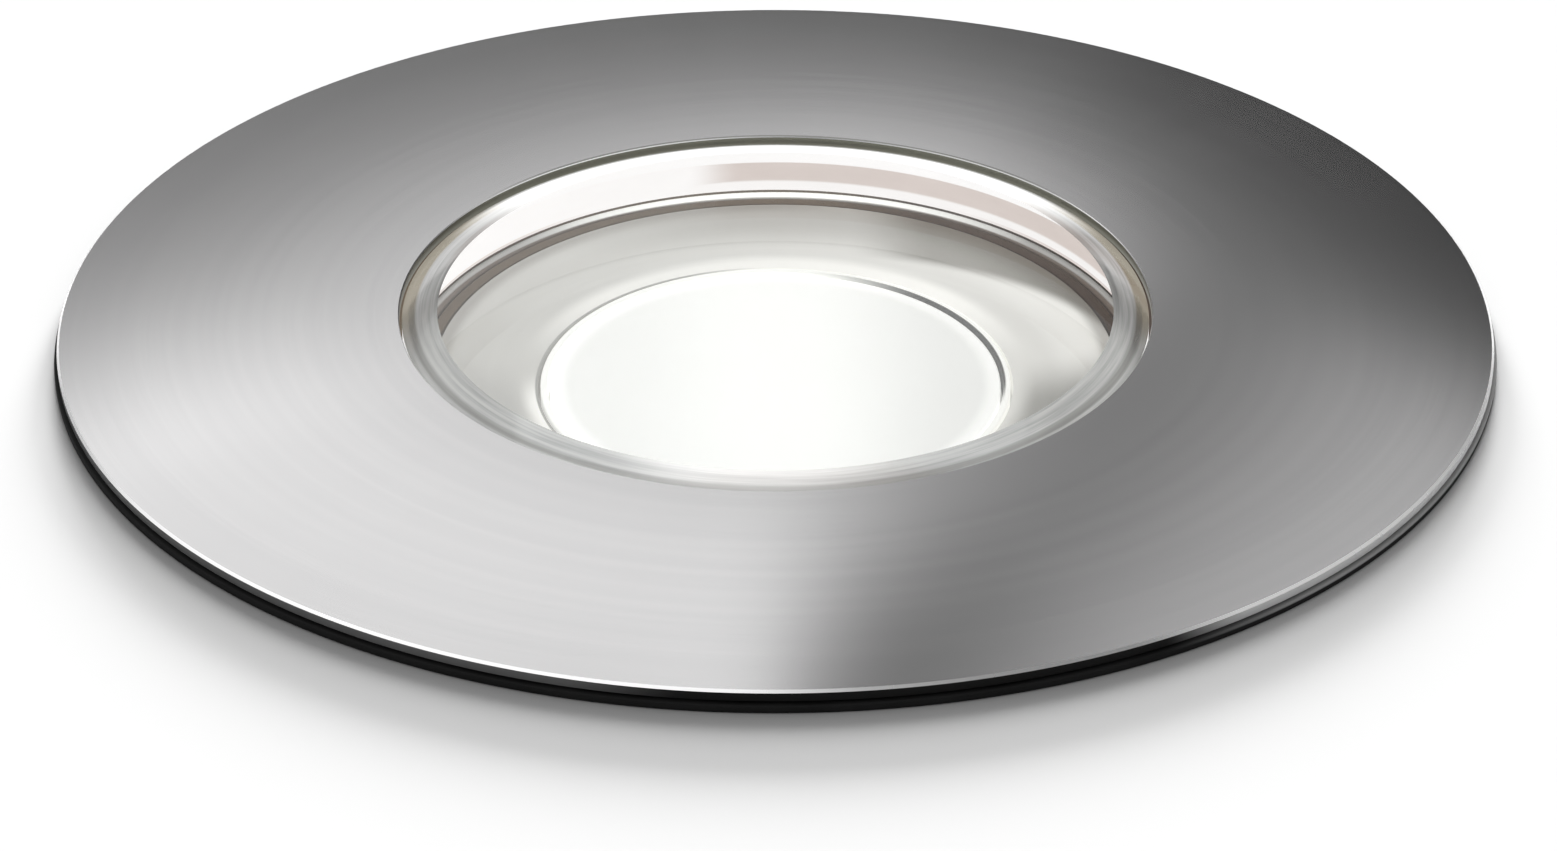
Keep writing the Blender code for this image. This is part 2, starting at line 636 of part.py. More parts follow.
def build_housing(luminaire):
    shape = bmesh.new()
    add_turned(shape, housing_outline(), COARSE_TURN)
    housing = object_from(shape, "housing")

    added = bmesh.new()
    for x, y, _ in boss_places(0):
        add_cylinder(added, BOSS_RADIUS, housing_base, housing_base + BOSS_HEIGHT, place=(x, y))
    join(housing, added)

    bracket_top = pin_height + BRACKET_TOP
    for angle in clip_angles():
        pad = bmesh.new()
        half = bracket_half_width()
        add_box(pad, (housing_radius - PAD_ROOT, -half, bracket_top - BRACKET_HEIGHT),
                (pad_face(), half, bracket_top))
        turned_about(pad, angle)
        join(housing, pad)

    removed = bmesh.new()
    for x, y, _ in boss_places(0):
        add_cylinder(removed, CAP_SCREW_RADIUS + SEAT_GAP, housing_base - CUT_OVERRUN,
                     housing_base + CAP_SCREW_BORE, place=(x, y))
    counterbore = flange_top - STUD_HEAD_HEIGHT - SEAT_GAP
    for x, y, _ in round_the_axis(STUD_COUNT, stud_circle, 0):
        add_cylinder(removed, STUD_RADIUS + SEAT_GAP, flange_base - CUT_OVERRUN,
                     flange_top + CUT_OVERRUN, place=(x, y))
    cut(housing, removed)
    removed = bmesh.new()
    for x, y, _ in round_the_axis(STUD_COUNT, stud_circle, 0):
        add_cylinder(removed, STUD_HEAD_RADIUS + SEAT_GAP, counterbore,
                     flange_top + CUT_OVERRUN, place=(x, y))
    cut(housing, removed)
    for angle in clip_angles():
        cut(housing, bracket_screw_hole(angle))
    settle(housing, "housing", "cast_housing", luminaire)


def bracket_screw_hole(angle):
    """Blind hole in a pad, from its face towards the housing's axis."""
    head_seat = pad_face() + SEAT_GAP + BRACKET_THICKNESS + SEAT_GAP
    hole = bmesh.new()
    add_cylinder(hole, BRACKET_SCREW_RADIUS + SEAT_GAP,
                 head_seat - BRACKET_SCREW_LENGTH - SEAT_GAP, pad_face() + CUT_OVERRUN)
    along_x(hole)
    bmesh.ops.translate(hole, verts=hole.verts[:], vec=(0, 0, pin_height - BRACKET_SCREW_DROP))
    turned_about(hole, angle)
    return hole


# Lamp

def build_dish(luminaire):
    """Shallow spun dish: a flat lip, a curved bowl and a short collar round the lens."""
    outer = dish_outer
    inner = dish_inner
    top = ledge_top - cup_top - SEAT_GAP
    low = lens_top - cup_top - SEAT_GAP
    bowl_edge = outer - DISH_LIP_WIDTH
    bowl = []
    for index in range(DISH_ARC_STEPS + 1):
        along = index / DISH_ARC_STEPS
        bowl.append((bowl_edge + (inner - bowl_edge) * along,
                     top + (low - top) * sin(along * pi / 2)))
    under = [(radius, height - DISH_THICKNESS) for radius, height in reversed(bowl[:-1])]
    outline = [(outer, top)] + bowl + [(inner, 0), (inner + DISH_THICKNESS, 0)]
    outline += [(inner + DISH_THICKNESS, low - DISH_THICKNESS)] + under
    outline += [(outer, top - DISH_THICKNESS)]
    turned_piece("reflector_dish", outline, COARSE_TURN, "satin_aluminium", luminaire,
                 cup_top + SEAT_GAP)


def build_lens(luminaire):
    edge = COLLAR_PROUD
    outline = [(0, LENS_THICKNESS), (lens_radius - edge, LENS_THICKNESS),
               (lens_radius, LENS_THICKNESS - edge), (lens_radius, 0), (0, 0)]
    turned_piece("opal_lens", outline, COARSE_TURN, "opal", luminaire, lens_base, closed=False)
    inner = lens_radius + SEAT_GAP
    collar = ring_outline(inner, inner + COLLAR_WALL, 0, LENS_THICKNESS + COLLAR_PROUD)
    turned_piece("lens_collar", collar, COARSE_TURN, "white_plastic", luminaire, lens_base)


def cup_radii():
    """Outer wall, flange and the recess round the board."""
    return (ledge_radius - CUP_CLEARANCE, chamber_radius - CUP_FLANGE_GAP, BOARD_RADIUS + SEAT_GAP)


def build_mixing_cup(luminaire):
    """White cone from the LED up to the lens, on a flange that is screwed to the sink."""
    wall, flange, recess = cup_radii()
    top = cup_top - cup_base
    roof = cup_roof - cup_base
    mouth = LED_RADIUS + SEAT_GAP + LED_HOLDER_WALL + SEAT_GAP
    outline = [(wall, top), (wall, CUP_FLANGE_THICKNESS), (flange, CUP_FLANGE_THICKNESS),
               (flange, 0), (recess, 0), (recess, roof), (mouth, roof),
               (lens_radius - CUP_LAP, top)]
    shape = bmesh.new()
    add_turned(shape, outline, COARSE_TURN)
    cup = object_from(shape, "mixing_cup")
    holes = bmesh.new()
    for x, y, _ in cup_screw_places(0):
        add_cylinder(holes, CUP_SCREW_RADIUS + SEAT_GAP, -CUT_OVERRUN,
                     CUP_FLANGE_THICKNESS + CUT_OVERRUN, place=(x, y))
    cut(cup, holes)
    settle(cup, "mixing_cup", "white_plastic", luminaire, (0, 0, cup_base))
    seats = cup_screw_places(cup_base + CUP_FLANGE_THICKNESS + SEAT_GAP)
    screws("cup_screw", CUP_SCREW_COUNT, CUP_SCREW_RADIUS, CUP_SCREW_LENGTH, "zinc",
           [luminaire] * CUP_SCREW_COUNT, seats)


def cup_screw_places(height):
    wall, flange, _ = cup_radii()
    return round_the_axis(CUP_SCREW_COUNT, (wall + flange) / 2, height, pi / 6)


def lead_hole_places():
    return [(-LEAD_SPREAD, -LEAD_HOLE_PLACE), (LEAD_SPREAD, -LEAD_HOLE_PLACE)]


def with_lead_holes(body, low, high):
    holes = bmesh.new()
    for place in lead_hole_places():
        add_cylinder(holes, LEAD_HOLE_RADIUS, low - CUT_OVERRUN, high + CUT_OVERRUN, place=place)
    cut(body, holes)
    return body


def build_led(luminaire):
    for name, thickness, finish, height in (
            ("led_board", BOARD_THICKNESS, "board_white", board_base),
            ("thermal_pad", PAD_THICKNESS, "pad_grey", pad_base)):
        shape = bmesh.new()
        add_cylinder(shape, BOARD_RADIUS, 0, thickness, COARSE_TURN)
        disc = with_lead_holes(object_from(shape, name), 0, thickness)
        settle(disc, name, finish, luminaire, (0, 0, height))
    seat = board_top + SEAT_GAP
    outline = [(0, LED_HEIGHT), (LED_RADIUS, LED_HEIGHT), (LED_RADIUS, 0), (0, 0)]
    turned_piece("led", outline, COARSE_TURN, "led_yellow", luminaire, seat, closed=False)
    inner = LED_RADIUS + SEAT_GAP
    holder = ring_outline(inner, inner + LED_HOLDER_WALL, 0, LED_HOLDER_HEIGHT)
    turned_piece("led_holder", holder, COARSE_TURN, "white_plastic", luminaire, seat)


def build_heat_sink(luminaire):
    """Round plate with a row of straight fins underneath."""
    shape = bmesh.new()
    add_cylinder(shape, sink_radius, 0, SINK_THICKNESS, COARSE_TURN)
    sink = object_from(shape, "heat_sink")
    reach = sink_bore + CIRCLIP_GRIP - CIRCLIP_WIDTH - FIN_EDGE_ROOM
    fins = bmesh.new()
    steps = int(reach / FIN_PITCH)
    for index in range(-steps, steps + 1):
        middle = index * FIN_PITCH
        half = FIN_THICKNESS / 2
        far = abs(middle) + half
        length = sqrt(max(reach ** 2 - far ** 2, 0.0))
        if length > FIN_PITCH:
            add_box(fins, (middle - half, -length, -FIN_HEIGHT),
                    (middle + half, length, SINK_THICKNESS / 2))
    join(sink, fins)
    removed = bmesh.new()
    depth = CUP_SCREW_LENGTH - CUP_FLANGE_THICKNESS
    for x, y, _ in cup_screw_places(0):
        add_cylinder(removed, CUP_SCREW_RADIUS + SEAT_GAP, SINK_THICKNESS - depth,
                     SINK_THICKNESS + CUT_OVERRUN, place=(x, y))
    cut(sink, removed)
    with_lead_holes(sink, 0, SINK_THICKNESS)
    settle(sink, "heat_sink", "sink_aluminium", luminaire, (0, 0, sink_base))


def build_circlip(luminaire):
    """Open ring: a small rectangle spun through less than a full turn."""
    outer = sink_bore + CIRCLIP_GRIP
    inner = outer - CIRCLIP_WIDTH
    shape = bmesh.new()
    corners = [shape.verts.new((radius, 0, height))
               for radius, height in ring_outline(inner, outer, 0, CIRCLIP_THICKNESS)]
    face = shape.faces.new(corners)
    bmesh.ops.spin(shape, geom=[face], cent=(0, 0, 0), axis=(0, 0, 1),
                   angle=tau - CIRCLIP_OPEN_ANGLE, steps=COARSE_TURN)
    bmesh.ops.remove_doubles(shape, verts=shape.verts[:], dist=MERGE_DISTANCE)
    ring = object_from(shape, "sink_circlip")
    settle(ring, "sink_circlip", "spring_steel", luminaire, (0, 0, circlip_base))


# Driver side

def build_driver(luminaire):
    """Potted box that stands on the cap, with a screwed ear at each end."""
    length, width, height = DRIVER_SIZE
    ear_length, ear_width, ear_height = DRIVER_EAR_SIZE
    shape = bmesh.new()
    add_box(shape, (-length / 2, -width / 2, 0), (length / 2, width / 2, height))
    upright = [edge for edge in shape.edges
               if abs(edge.verts[0].co.z - edge.verts[1].co.z) > height / 2]
    bmesh.ops.bevel(shape, geom=upright, offset=DRIVER_EDGE_RADIUS, segments=2, profile=0.5,
                    affect="EDGES")
    driver = object_from(shape, "driver")
    ears = bmesh.new()
    reach = length / 2 + ear_length
    add_box(ears, (-reach, -ear_width / 2, 0), (reach, ear_width / 2, ear_height))
    join(driver, ears)
    holes = bmesh.new()
    for x, y in driver_screw_places():
        add_cylinder(holes, DRIVER_SCREW_RADIUS + SEAT_GAP, -CUT_OVERRUN,
                     ear_height + CUT_OVERRUN, place=(x, y))
    cut(driver, holes)
    settle(driver, "driver", "driver_case", luminaire, (0, driver_middle(), driver_base))
    seats = [(x, y + driver_middle(), driver_base + ear_height + SEAT_GAP)
             for x, y in driver_screw_places()]
    screws("driver_screw", len(seats), DRIVER_SCREW_RADIUS, driver_screw_length(), "zinc",
           [luminaire] * len(seats), seats)


def driver_middle():
    return DRIVER_OFFSET + DRIVER_SIZE[1] / 2


def driver_screw_places():
    reach = (DRIVER_SIZE[0] + DRIVER_EAR_SIZE[0]) / 2
    return [(-reach, 0), (reach, 0)]


def driver_screw_length():
    """Through the ear and halfway into the cap's plate."""
    return SEAT_GAP + DRIVER_EAR_SIZE[2] + SEAT_GAP + CAP_THICKNESS / 2


def build_terminal_block(luminaire):
    """Screw terminals: a row of wire holes in its side and of screw holes in its top."""
    length, width, height = TERMINAL_SIZE
    shape = bmesh.new()
    add_box(shape, (-length / 2, -width / 2, 0), (length / 2, width / 2, height))
    block = object_from(shape, "terminal_block")
    spacing = length / TERMINAL_WAYS
    wells = bmesh.new()
    wires = bmesh.new()
    for index in range(TERMINAL_WAYS):
        x = (index - (TERMINAL_WAYS - 1) / 2) * spacing
        add_cylinder(wells, TERMINAL_HOLE_RADIUS, height - TERMINAL_HOLE_DEPTH,
                     height + CUT_OVERRUN, place=(x, width / 2 - TERMINAL_SCREW_SETBACK))
        add_cylinder(wires, TERMINAL_HOLE_RADIUS, -width / 2 - CUT_OVERRUN,
                     TERMINAL_HOLE_DEPTH - width / 2, place=(x, -height / 3))
    along_y(wires)
    cut(block, wells)
    cut(block, wires)
    place = (*terminal_place, cap_top + SEAT_GAP)
    settle(block, "terminal_block", "terminal_green", luminaire, place)


def curve_through(points, steps):
    """Points of a smooth Catmull-Rom curve through a few points."""
    guides = [Vector(point) for point in points]
    guides = [2 * guides[0] - guides[1], *guides, 2 * guides[-1] - guides[-2]]
    route = []
    for before, start, end, after in zip(guides, guides[1:], guides[2:], guides[3:]):
        for index in range(steps):
            t = index / steps
            route.append(0.5 * (2 * start + (end - before) * t
                                + (2 * before - 5 * start + 4 * end - after) * t ** 2
                                + (3 * start - before - 3 * end + after) * t ** 3))
    route.append(guides[-2])
    return route


def tube(name, kind, route, radius, finish, parent, place=(0, 0, 0)):
    """Round wire along a route, with closed ends."""
    line = bpy.data.curves.new(name, "CURVE")
    line.dimensions = "3D"
    line.bevel_depth = radius
    line.bevel_resolution = 1
    line.use_fill_caps = True
    spline = line.splines.new("POLY")
    spline.points.add(len(route) - 1)
    for point, spot in zip(spline.points, route):
        point.co = (*spot, 1.0)
    line.materials.append(finish_material(kind, finish))
    made = bpy.data.objects.new(name, line)
    bpy.context.scene.collection.objects.link(made)
    made.parent = parent
    made.location = place
    return made


def build_leads(luminaire):
    """Two leads from the driver's side, between the fins and up through the board."""
    tip = board_top + LEAD_TIP
    start_height = driver_base + LEAD_DRIVER_RISE
    knee = (fin_base + sink_base) / 2
    start = DRIVER_OFFSET - SEAT_GAP
    for (x, hole_y), name, finish in zip(lead_hole_places(), ("lead_positive", "lead_negative"),
                                         ("lead_red", "lead_black")):
        bend = (start + hole_y) / 2
        route = curve_through([(x, start, start_height), (x, bend, start_height),
                               (x, hole_y, (start_height + knee) / 2), (x, hole_y, knee),
                               (x, hole_y, sink_top), (x, hole_y, tip)], LEAD_STEPS)
        tube(name, name, route, LEAD_RADIUS, finish, luminaire)


# Base cap with what passes through it

def build_base_cap(luminaire):
    """Plate with four ears, and a spigot with an o-ring groove inside the housing."""
    spigot_outer = sink_bore - SEAT_GAP
    groove = spigot_outer - CAP_RING_GROOVE
    groove_half = CAP_RING_RADIUS + SEAT_GAP
    middle = o_ring_height() - cap_base
    top = CAP_THICKNESS + SPIGOT_HEIGHT
    outline = [
        (0, CAP_THICKNESS), (spigot_inner, CAP_THICKNESS), (spigot_inner, top), (spigot_outer, top),
        (spigot_outer, middle + groove_half), (groove, middle + groove_half),
        (groove, middle - groove_half), (spigot_outer, middle - groove_half),
        (spigot_outer, CAP_THICKNESS), (housing_radius, CAP_THICKNESS), (housing_radius, 0), (0, 0)]
    shape = bmesh.new()
    add_turned(shape, outline, COARSE_TURN, closed=False)
    cap = object_from(shape, "base_cap")
    ears = bmesh.new()
    for x, y, _ in boss_places(0):
        add_cylinder(ears, BOSS_RADIUS, 0, CAP_THICKNESS, place=(x, y))
    join(cap, ears)
    removed = bmesh.new()
    for x, y, _ in boss_places(0):
        add_cylinder(removed, CAP_SCREW_RADIUS + SEAT_GAP, -CUT_OVERRUN,
                     CAP_THICKNESS + CUT_OVERRUN, place=(x, y))
    add_cylinder(removed, GLAND_THREAD_RADIUS + SEAT_GAP, -CUT_OVERRUN,
                 CAP_THICKNESS + CUT_OVERRUN, COARSE_TURN, place=gland_place)
    add_cylinder(removed, VENT_THREAD_RADIUS + SEAT_GAP, -CUT_OVERRUN,
                 CAP_THICKNESS + CUT_OVERRUN, place=vent_place)
    screw_bottom = CAP_THICKNESS / 2 - SEAT_GAP
    for x, y in driver_screw_places():
        add_cylinder(removed, DRIVER_SCREW_RADIUS + SEAT_GAP, screw_bottom,
                     CAP_THICKNESS + CUT_OVERRUN, place=(x, y + driver_middle()))
    cut(cap, removed)
    settle(cap, "base_cap", "cast_housing", luminaire, (0, 0, cap_base))
    seats = boss_places(cap_base - SEAT_GAP)
    screws("cap_screw", BOSS_COUNT, CAP_SCREW_RADIUS, CAP_SCREW_LENGTH, "bright_steel",
           [luminaire] * BOSS_COUNT, seats, flip=True)


def o_ring_height():
    return cap_top + SPIGOT_HEIGHT / 2


def build_cap_ring(luminaire):
    """O-ring of round section in the spigot's groove."""
    middle = sink_bore - SEAT_GAP - CAP_RING_GROOVE + SEAT_GAP + CAP_RING_RADIUS
    outline = []
    for index in range(CAP_RING_STEPS):
        angle = -tau * index / CAP_RING_STEPS
        outline.append((middle + CAP_RING_RADIUS * cos(angle), CAP_RING_RADIUS * sin(angle)))
    turned_piece("cap_o_ring", outline, COARSE_TURN, "black_rubber", luminaire, o_ring_height())


def build_gland(luminaire):
    """Cable gland, from the locknut inside the cap down to the dome nut's mouth."""
    x, y = gland_place
    thread = GLAND_THREAD_RADIUS

    def place_at(body, kind, finish, height):
        settle(body, kind, finish, luminaire, (x, y, height))

    locknut = hex_ring("gland_locknut", GLAND_HEX_RADIUS, thread + SEAT_GAP, GLAND_LOCKNUT_HEIGHT)
    place_at(locknut, "gland_locknut", "zinc", cap_top + SEAT_GAP)

    shape = bmesh.new()
    inner = thread + SEAT_GAP
    washer = ring_outline(inner, inner + GLAND_WASHER_WIDTH, 0, GLAND_WASHER_THICKNESS)
    add_turned(shape, washer, FITTING_TURN)
    place_at(object_from(shape, "gland_washer"), "gland_washer", "black_rubber", washer_base)

    shape = bmesh.new()
    seal_pocket = GLAND_SEAL_BORE + GLAND_SEAL_WALL + SEAT_GAP
    thread_top = cap_top + SEAT_GAP + GLAND_LOCKNUT_HEIGHT - barrel_base
    pocket_roof = seal_base() + GLAND_SEAL_LENGTH + SEAT_GAP - barrel_base
    outline = [(thread, thread_top), (thread, 0), (seal_pocket, 0), (seal_pocket, pocket_roof),
               (GLAND_BORE_RADIUS, pocket_roof), (GLAND_BORE_RADIUS, thread_top)]
    add_turned(shape, outline, FITTING_TURN)
    body = hex_ring("gland_body", GLAND_HEX_RADIUS, (GLAND_BORE_RADIUS + thread) / 2,
                    GLAND_HEX_HEIGHT)
    body.data.transform(Matrix.Translation((0, 0, hex_base - barrel_base)))
    join(body, shape)
    place_at(body, "gland_body", "bright_steel", barrel_base)

    shape = bmesh.new()
    seal = ring_outline(GLAND_SEAL_BORE, GLAND_SEAL_BORE + GLAND_SEAL_WALL, 0, GLAND_SEAL_LENGTH)
    add_turned(shape, seal, FITTING_TURN)
    place_at(object_from(shape, "gland_seal"), "gland_seal", "black_rubber", seal_base())

    place_at(gland_nut(), "gland_nut", "bright_steel", gland_base)


def seal_base():
    """The seal's lower end stands out of the barrel, just over the nut's dome."""
    return gland_base + GLAND_DOME_HEIGHT + SEAT_GAP


def hex_ring(name, corner_radius, bore, height):
    shape = bmesh.new()
    add_cylinder(shape, corner_radius, 0, height, HEX_SIDES)
    body = object_from(shape, name)
    hole = bmesh.new()
    add_cylinder(hole, bore, -CUT_OVERRUN, height + CUT_OVERRUN, FITTING_TURN)
    cut(body, hole)
    return body


def gland_nut():
    """Hexagonal nut that closes to a round dome with a mouth for the cable."""
    inner = GLAND_THREAD_RADIUS + SEAT_GAP
    outer = GLAND_HEX_RADIUS * cos(pi / HEX_SIDES) - SEAT_GAP
    nut = hex_ring("gland_nut", GLAND_HEX_RADIUS, inner, GLAND_NUT_LAP + GLAND_NUT_GRIP)
    nut.data.transform(Matrix.Translation((0, 0, GLAND_DOME_HEIGHT - GLAND_NUT_LAP)))
    dome = bmesh.new()
    add_turned(dome, [(outer, GLAND_DOME_HEIGHT), (inner, 0), (GLAND_MOUTH_RADIUS, 0),
                      (GLAND_MOUTH_RADIUS, GLAND_DOME_HEIGHT)], FITTING_TURN)
    join(nut, dome)
    return nut


def build_vent_plug(luminaire):
    """Pressure vent under the cap, with slots round its edge."""
    head = VENT_HEIGHT
    outline = [(0, head + CAP_THICKNESS / 2), (VENT_THREAD_RADIUS, head + CAP_THICKNESS / 2),
               (VENT_THREAD_RADIUS, head), (VENT_RADIUS, head), (VENT_RADIUS, 0), (0, 0)]
    shape = bmesh.new()
    add_turned(shape, outline, SMALL_TURN, closed=False)
    plug = object_from(shape, "vent_plug")
    for index in range(VENT_SLOT_COUNT):
        slot = bmesh.new()
        half = VENT_SLOT_WIDTH / 2
        add_box(slot, (VENT_RADIUS - VENT_SLOT_DEPTH, -half, -CUT_OVERRUN),
                (VENT_RADIUS + CUT_OVERRUN, half, head - SEAT_GAP))
        turned_about(slot, tau * index / VENT_SLOT_COUNT)
        cut(plug, slot)
    place = (*vent_place, cap_base - SEAT_GAP - head)
    settle(plug, "vent_plug", "black_plastic", luminaire, place)


# Sleeve

def build_sleeve(root):
    """Tube with a flange and gussets at its top, a band, and two cable entries."""
    band_top = (sleeve_top + SLEEVE_BAND_HEIGHT) / 2
    band_base = band_top - SLEEVE_BAND_HEIGHT
    band_radius = sleeve_outer + SLEEVE_BAND_DEPTH
    flange_low = sleeve_top - SLEEVE_FLANGE_THICKNESS
    outline = [
        (sleeve_inner, sleeve_top), (sleeve_flange_radius, sleeve_top),
        (sleeve_flange_radius, flange_low), (sleeve_outer, flange_low), (sleeve_outer, band_top),
        (band_radius, band_top), (band_radius, band_base), (sleeve_outer, band_base),
        (sleeve_outer, sleeve_bottom), (sleeve_inner, sleeve_bottom)]
    shape = bmesh.new()
    add_turned(shape, outline, SLEEVE_TURN)
    sleeve = object_from(shape, "sleeve")
    for index in range(GUSSET_COUNT):
        join(sleeve, gusset(flange_low, tau * (index + 0.5) / GUSSET_COUNT))

    collar_radius = ENTRY_RADIUS + ENTRY_WALL
    height = BASE_THICKNESS + ENTRY_RISE + collar_radius
    far = sleeve_outer + ENTRY_REACH
    near = (sleeve_inner + sqrt(sleeve_outer ** 2 - collar_radius ** 2)) / 2
    for side in (0.0, pi):
        join(sleeve, entry_tool(collar_radius, near, far, height, side))
    for side in (0.0, pi):
        bore_start = near - SLEEVE_WALL - CUT_OVERRUN
        cut(sleeve, entry_tool(ENTRY_RADIUS, bore_start, far + CUT_OVERRUN, height, side))
    settle(sleeve, "sleeve", "black_plastic", root)


def gusset(flange_low, angle):
    """Tapered rib under the flange, rooted in the wall and in the flange."""
    root_radius = sleeve_outer - SLEEVE_WALL / 2
    root_height = flange_low + SLEEVE_FLANGE_THICKNESS / 2
    edge = sleeve_flange_radius - GUSSET_FOOT
    foot = flange_low - GUSSET_HEIGHT
    shape = bmesh.new()
    add_prism(shape, [(root_radius, root_height), (edge, root_height), (edge, flange_low),
                      (sleeve_outer + GUSSET_FOOT, foot), (root_radius, foot)],
              -GUSSET_THICKNESS / 2, GUSSET_THICKNESS / 2)
    turned_about(shape, angle)
    return shape


def build_sleeve_base(root):
    """Plate with a drain, and a rim that stands inside the sleeve's lower end."""
    rim_outer = sleeve_inner - SEAT_GAP
    rim_inner = rim_outer - BASE_RIM_WALL
    rim_top = BASE_THICKNESS + BASE_RIM_HEIGHT
    outline = [
        (rim_outer, rim_top), (rim_outer, BASE_THICKNESS), (sleeve_outer, BASE_THICKNESS),
        (sleeve_outer, 0), (BASE_DRAIN_RADIUS, 0), (BASE_DRAIN_RADIUS, BASE_THICKNESS),
        (rim_inner, BASE_THICKNESS), (rim_inner, rim_top)]
    turned_piece("sleeve_base", outline, SLEEVE_TURN, "black_plastic", root)


def entry_tool(radius, start, end, height, side):
    """Cylinder that points sideways out of the sleeve's wall."""
    shape = bmesh.new()
    add_cylinder(shape, radius, start, end, FITTING_TURN)
    along_x(shape)
    bmesh.ops.translate(shape, verts=shape.verts[:], vec=(0, 0, height))
    turned_about(shape, side)
    return shape


# Clips: in the frame of a pin, with +X outwards and the pin along Y

def clip_bracket():
    """U-shaped bracket: a plate on the pad and two ears for the pin."""
    back = pad_face() + SEAT_GAP - pin_radius_out
    front = back + BRACKET_THICKNESS
    half = bracket_half_width()
    ear_inner = half - BRACKET_THICKNESS
    low = BRACKET_TOP - BRACKET_HEIGHT
    channel = [(back, -half), (BRACKET_EAR_REACH, -half), (BRACKET_EAR_REACH, -ear_inner),
               (front, -ear_inner), (front, ear_inner), (BRACKET_EAR_REACH, ear_inner),
               (BRACKET_EAR_REACH, half), (back, half)]
    shape = bmesh.new()
    add_prism(shape, channel, low, BRACKET_TOP, axis="Z")
    bracket = object_from(shape, "clip_bracket_1")
    trim = bmesh.new()
    add_box(trim, (front, -half - CUT_OVERRUN, low - CUT_OVERRUN),
            (BRACKET_EAR_REACH + CUT_OVERRUN, half + CUT_OVERRUN, BRACKET_TOP - BRACKET_EAR_HEIGHT))
    cut(bracket, trim)
    pin_hole = bmesh.new()
    add_cylinder(pin_hole, PIN_RADIUS + SEAT_GAP, -half - CUT_OVERRUN, half + CUT_OVERRUN)
    along_y(pin_hole)
    cut(bracket, pin_hole)
    screw_hole = bmesh.new()
    add_cylinder(screw_hole, BRACKET_SCREW_RADIUS + SEAT_GAP, back - CUT_OVERRUN,
                 front + CUT_OVERRUN)
    along_x(screw_hole)
    bmesh.ops.translate(screw_hole, verts=screw_hole.verts[:], vec=(0, 0, -BRACKET_SCREW_DROP))
    cut(bracket, screw_hole)
    return bracket


def clip_pin():
    """Headed pin along Y."""
    half = bracket_half_width() + SEAT_GAP
    outline = [(0, half + PIN_HEAD_HEIGHT), (PIN_HEAD_RADIUS, half + PIN_HEAD_HEIGHT),
               (PIN_HEAD_RADIUS, half), (PIN_RADIUS, half), (PIN_RADIUS, -half - PIN_TAIL),
               (0, -half - PIN_TAIL)]
    shape = bmesh.new()
    add_turned(shape, outline, SMALL_TURN, closed=False)
    along_y(shape)
    return object_from(shape, "clip_pin_1")


def elbow_reach():
    """How far the arm's elbow stands out of the pin, just short of the sleeve's wall."""
    facet_inner = sleeve_inner * cos(pi / SLEEVE_TURN)
    return sqrt(facet_inner ** 2 - (ARM_WIDTH / 2) ** 2) - SEAT_GAP - pin_radius_out


def thick_line(points, thickness):
    """Outline of a bent strip whose outer side is a line of (x, z) points."""
    outer = [Vector(point) for point in points]
    inner = []
    for index, point in enumerate(outer):
        before = outer[max(index - 1, 0)]
        after = outer[min(index + 1, len(outer) - 1)]
        first = (point - before) if index else (after - point)
        last = (after - point) if index < len(outer) - 1 else first
        first_side = Vector((first.y, -first.x)).normalized()
        last_side = Vector((last.y, -last.x)).normalized()
        bisector = (first_side + last_side).normalized()
        inner.append(point + bisector * thickness / bisector.dot(first_side))
    return [tuple(point) for point in outer + inner[::-1]]


def clip_arm():
    """Bent strip that hangs from two rolled eyes, with a notch for the spring."""
    eye_radius = PIN_RADIUS + SEAT_GAP + ARM_EYE_WALL
    reach = elbow_reach()
    half = ARM_WIDTH / 2
    shape = bmesh.new()
    add_cylinder(shape, eye_radius, -half, half)
    along_y(shape)
    arm = object_from(shape, "clip_arm_1")
    strip = bmesh.new()
    line = [(eye_radius / 2, 0), (reach, -ARM_DROP),
            (reach - ARM_FOOT_INSET, -ARM_DROP - ARM_FOOT_DROP)]
    add_prism(strip, thick_line(line, ARM_THICKNESS), -half, half)
    join(arm, strip)
    notch_half = spring_width() / 2 + SEAT_GAP
    notch = bmesh.new()
    add_cylinder(notch, ARM_NOTCH_REACH, -notch_half, notch_half, FITTING_TURN)
    along_y(notch)
    cut(arm, notch)
    bore = bmesh.new()
    add_cylinder(bore, PIN_RADIUS + SEAT_GAP, -half - CUT_OVERRUN, half + CUT_OVERRUN)
    along_y(bore)
    cut(arm, bore)
    return arm


def spring_width():
    return SPRING_TURNS * SPRING_PITCH + 2 * SPRING_WIRE_RADIUS


def spring_route():
    """Coil round the pin whose two ends run down: one at the bracket, one at the arm."""
    coil = PIN_RADIUS + SEAT_GAP + 2 * SPRING_WIRE_RADIUS
    start = -SPRING_TURNS * SPRING_PITCH / 2
    turns = SPRING_TURNS - 0.5
    steps = int(turns * SPRING_TURN_STEPS)
    route = [(-coil, start, -SPRING_LEG), (-coil, start, -SPRING_LEG / 2)]
    for index in range(steps + 1):
        along = index / steps
        angle = pi - along * turns * tau
        route.append((coil * cos(angle), start + along * SPRING_TURNS * SPRING_PITCH,
                      coil * sin(angle)))
    route += [(coil, -start, -SPRING_LEG / 2), (coil, -start, -SPRING_LEG)]
    return route


def least_coil_gap():
    """Clear space between two turns of the spring's wire."""
    per_turn = SPRING_PITCH * SPRING_TURNS / (SPRING_TURNS - 0.5)
    return per_turn - 2 * SPRING_WIRE_RADIUS


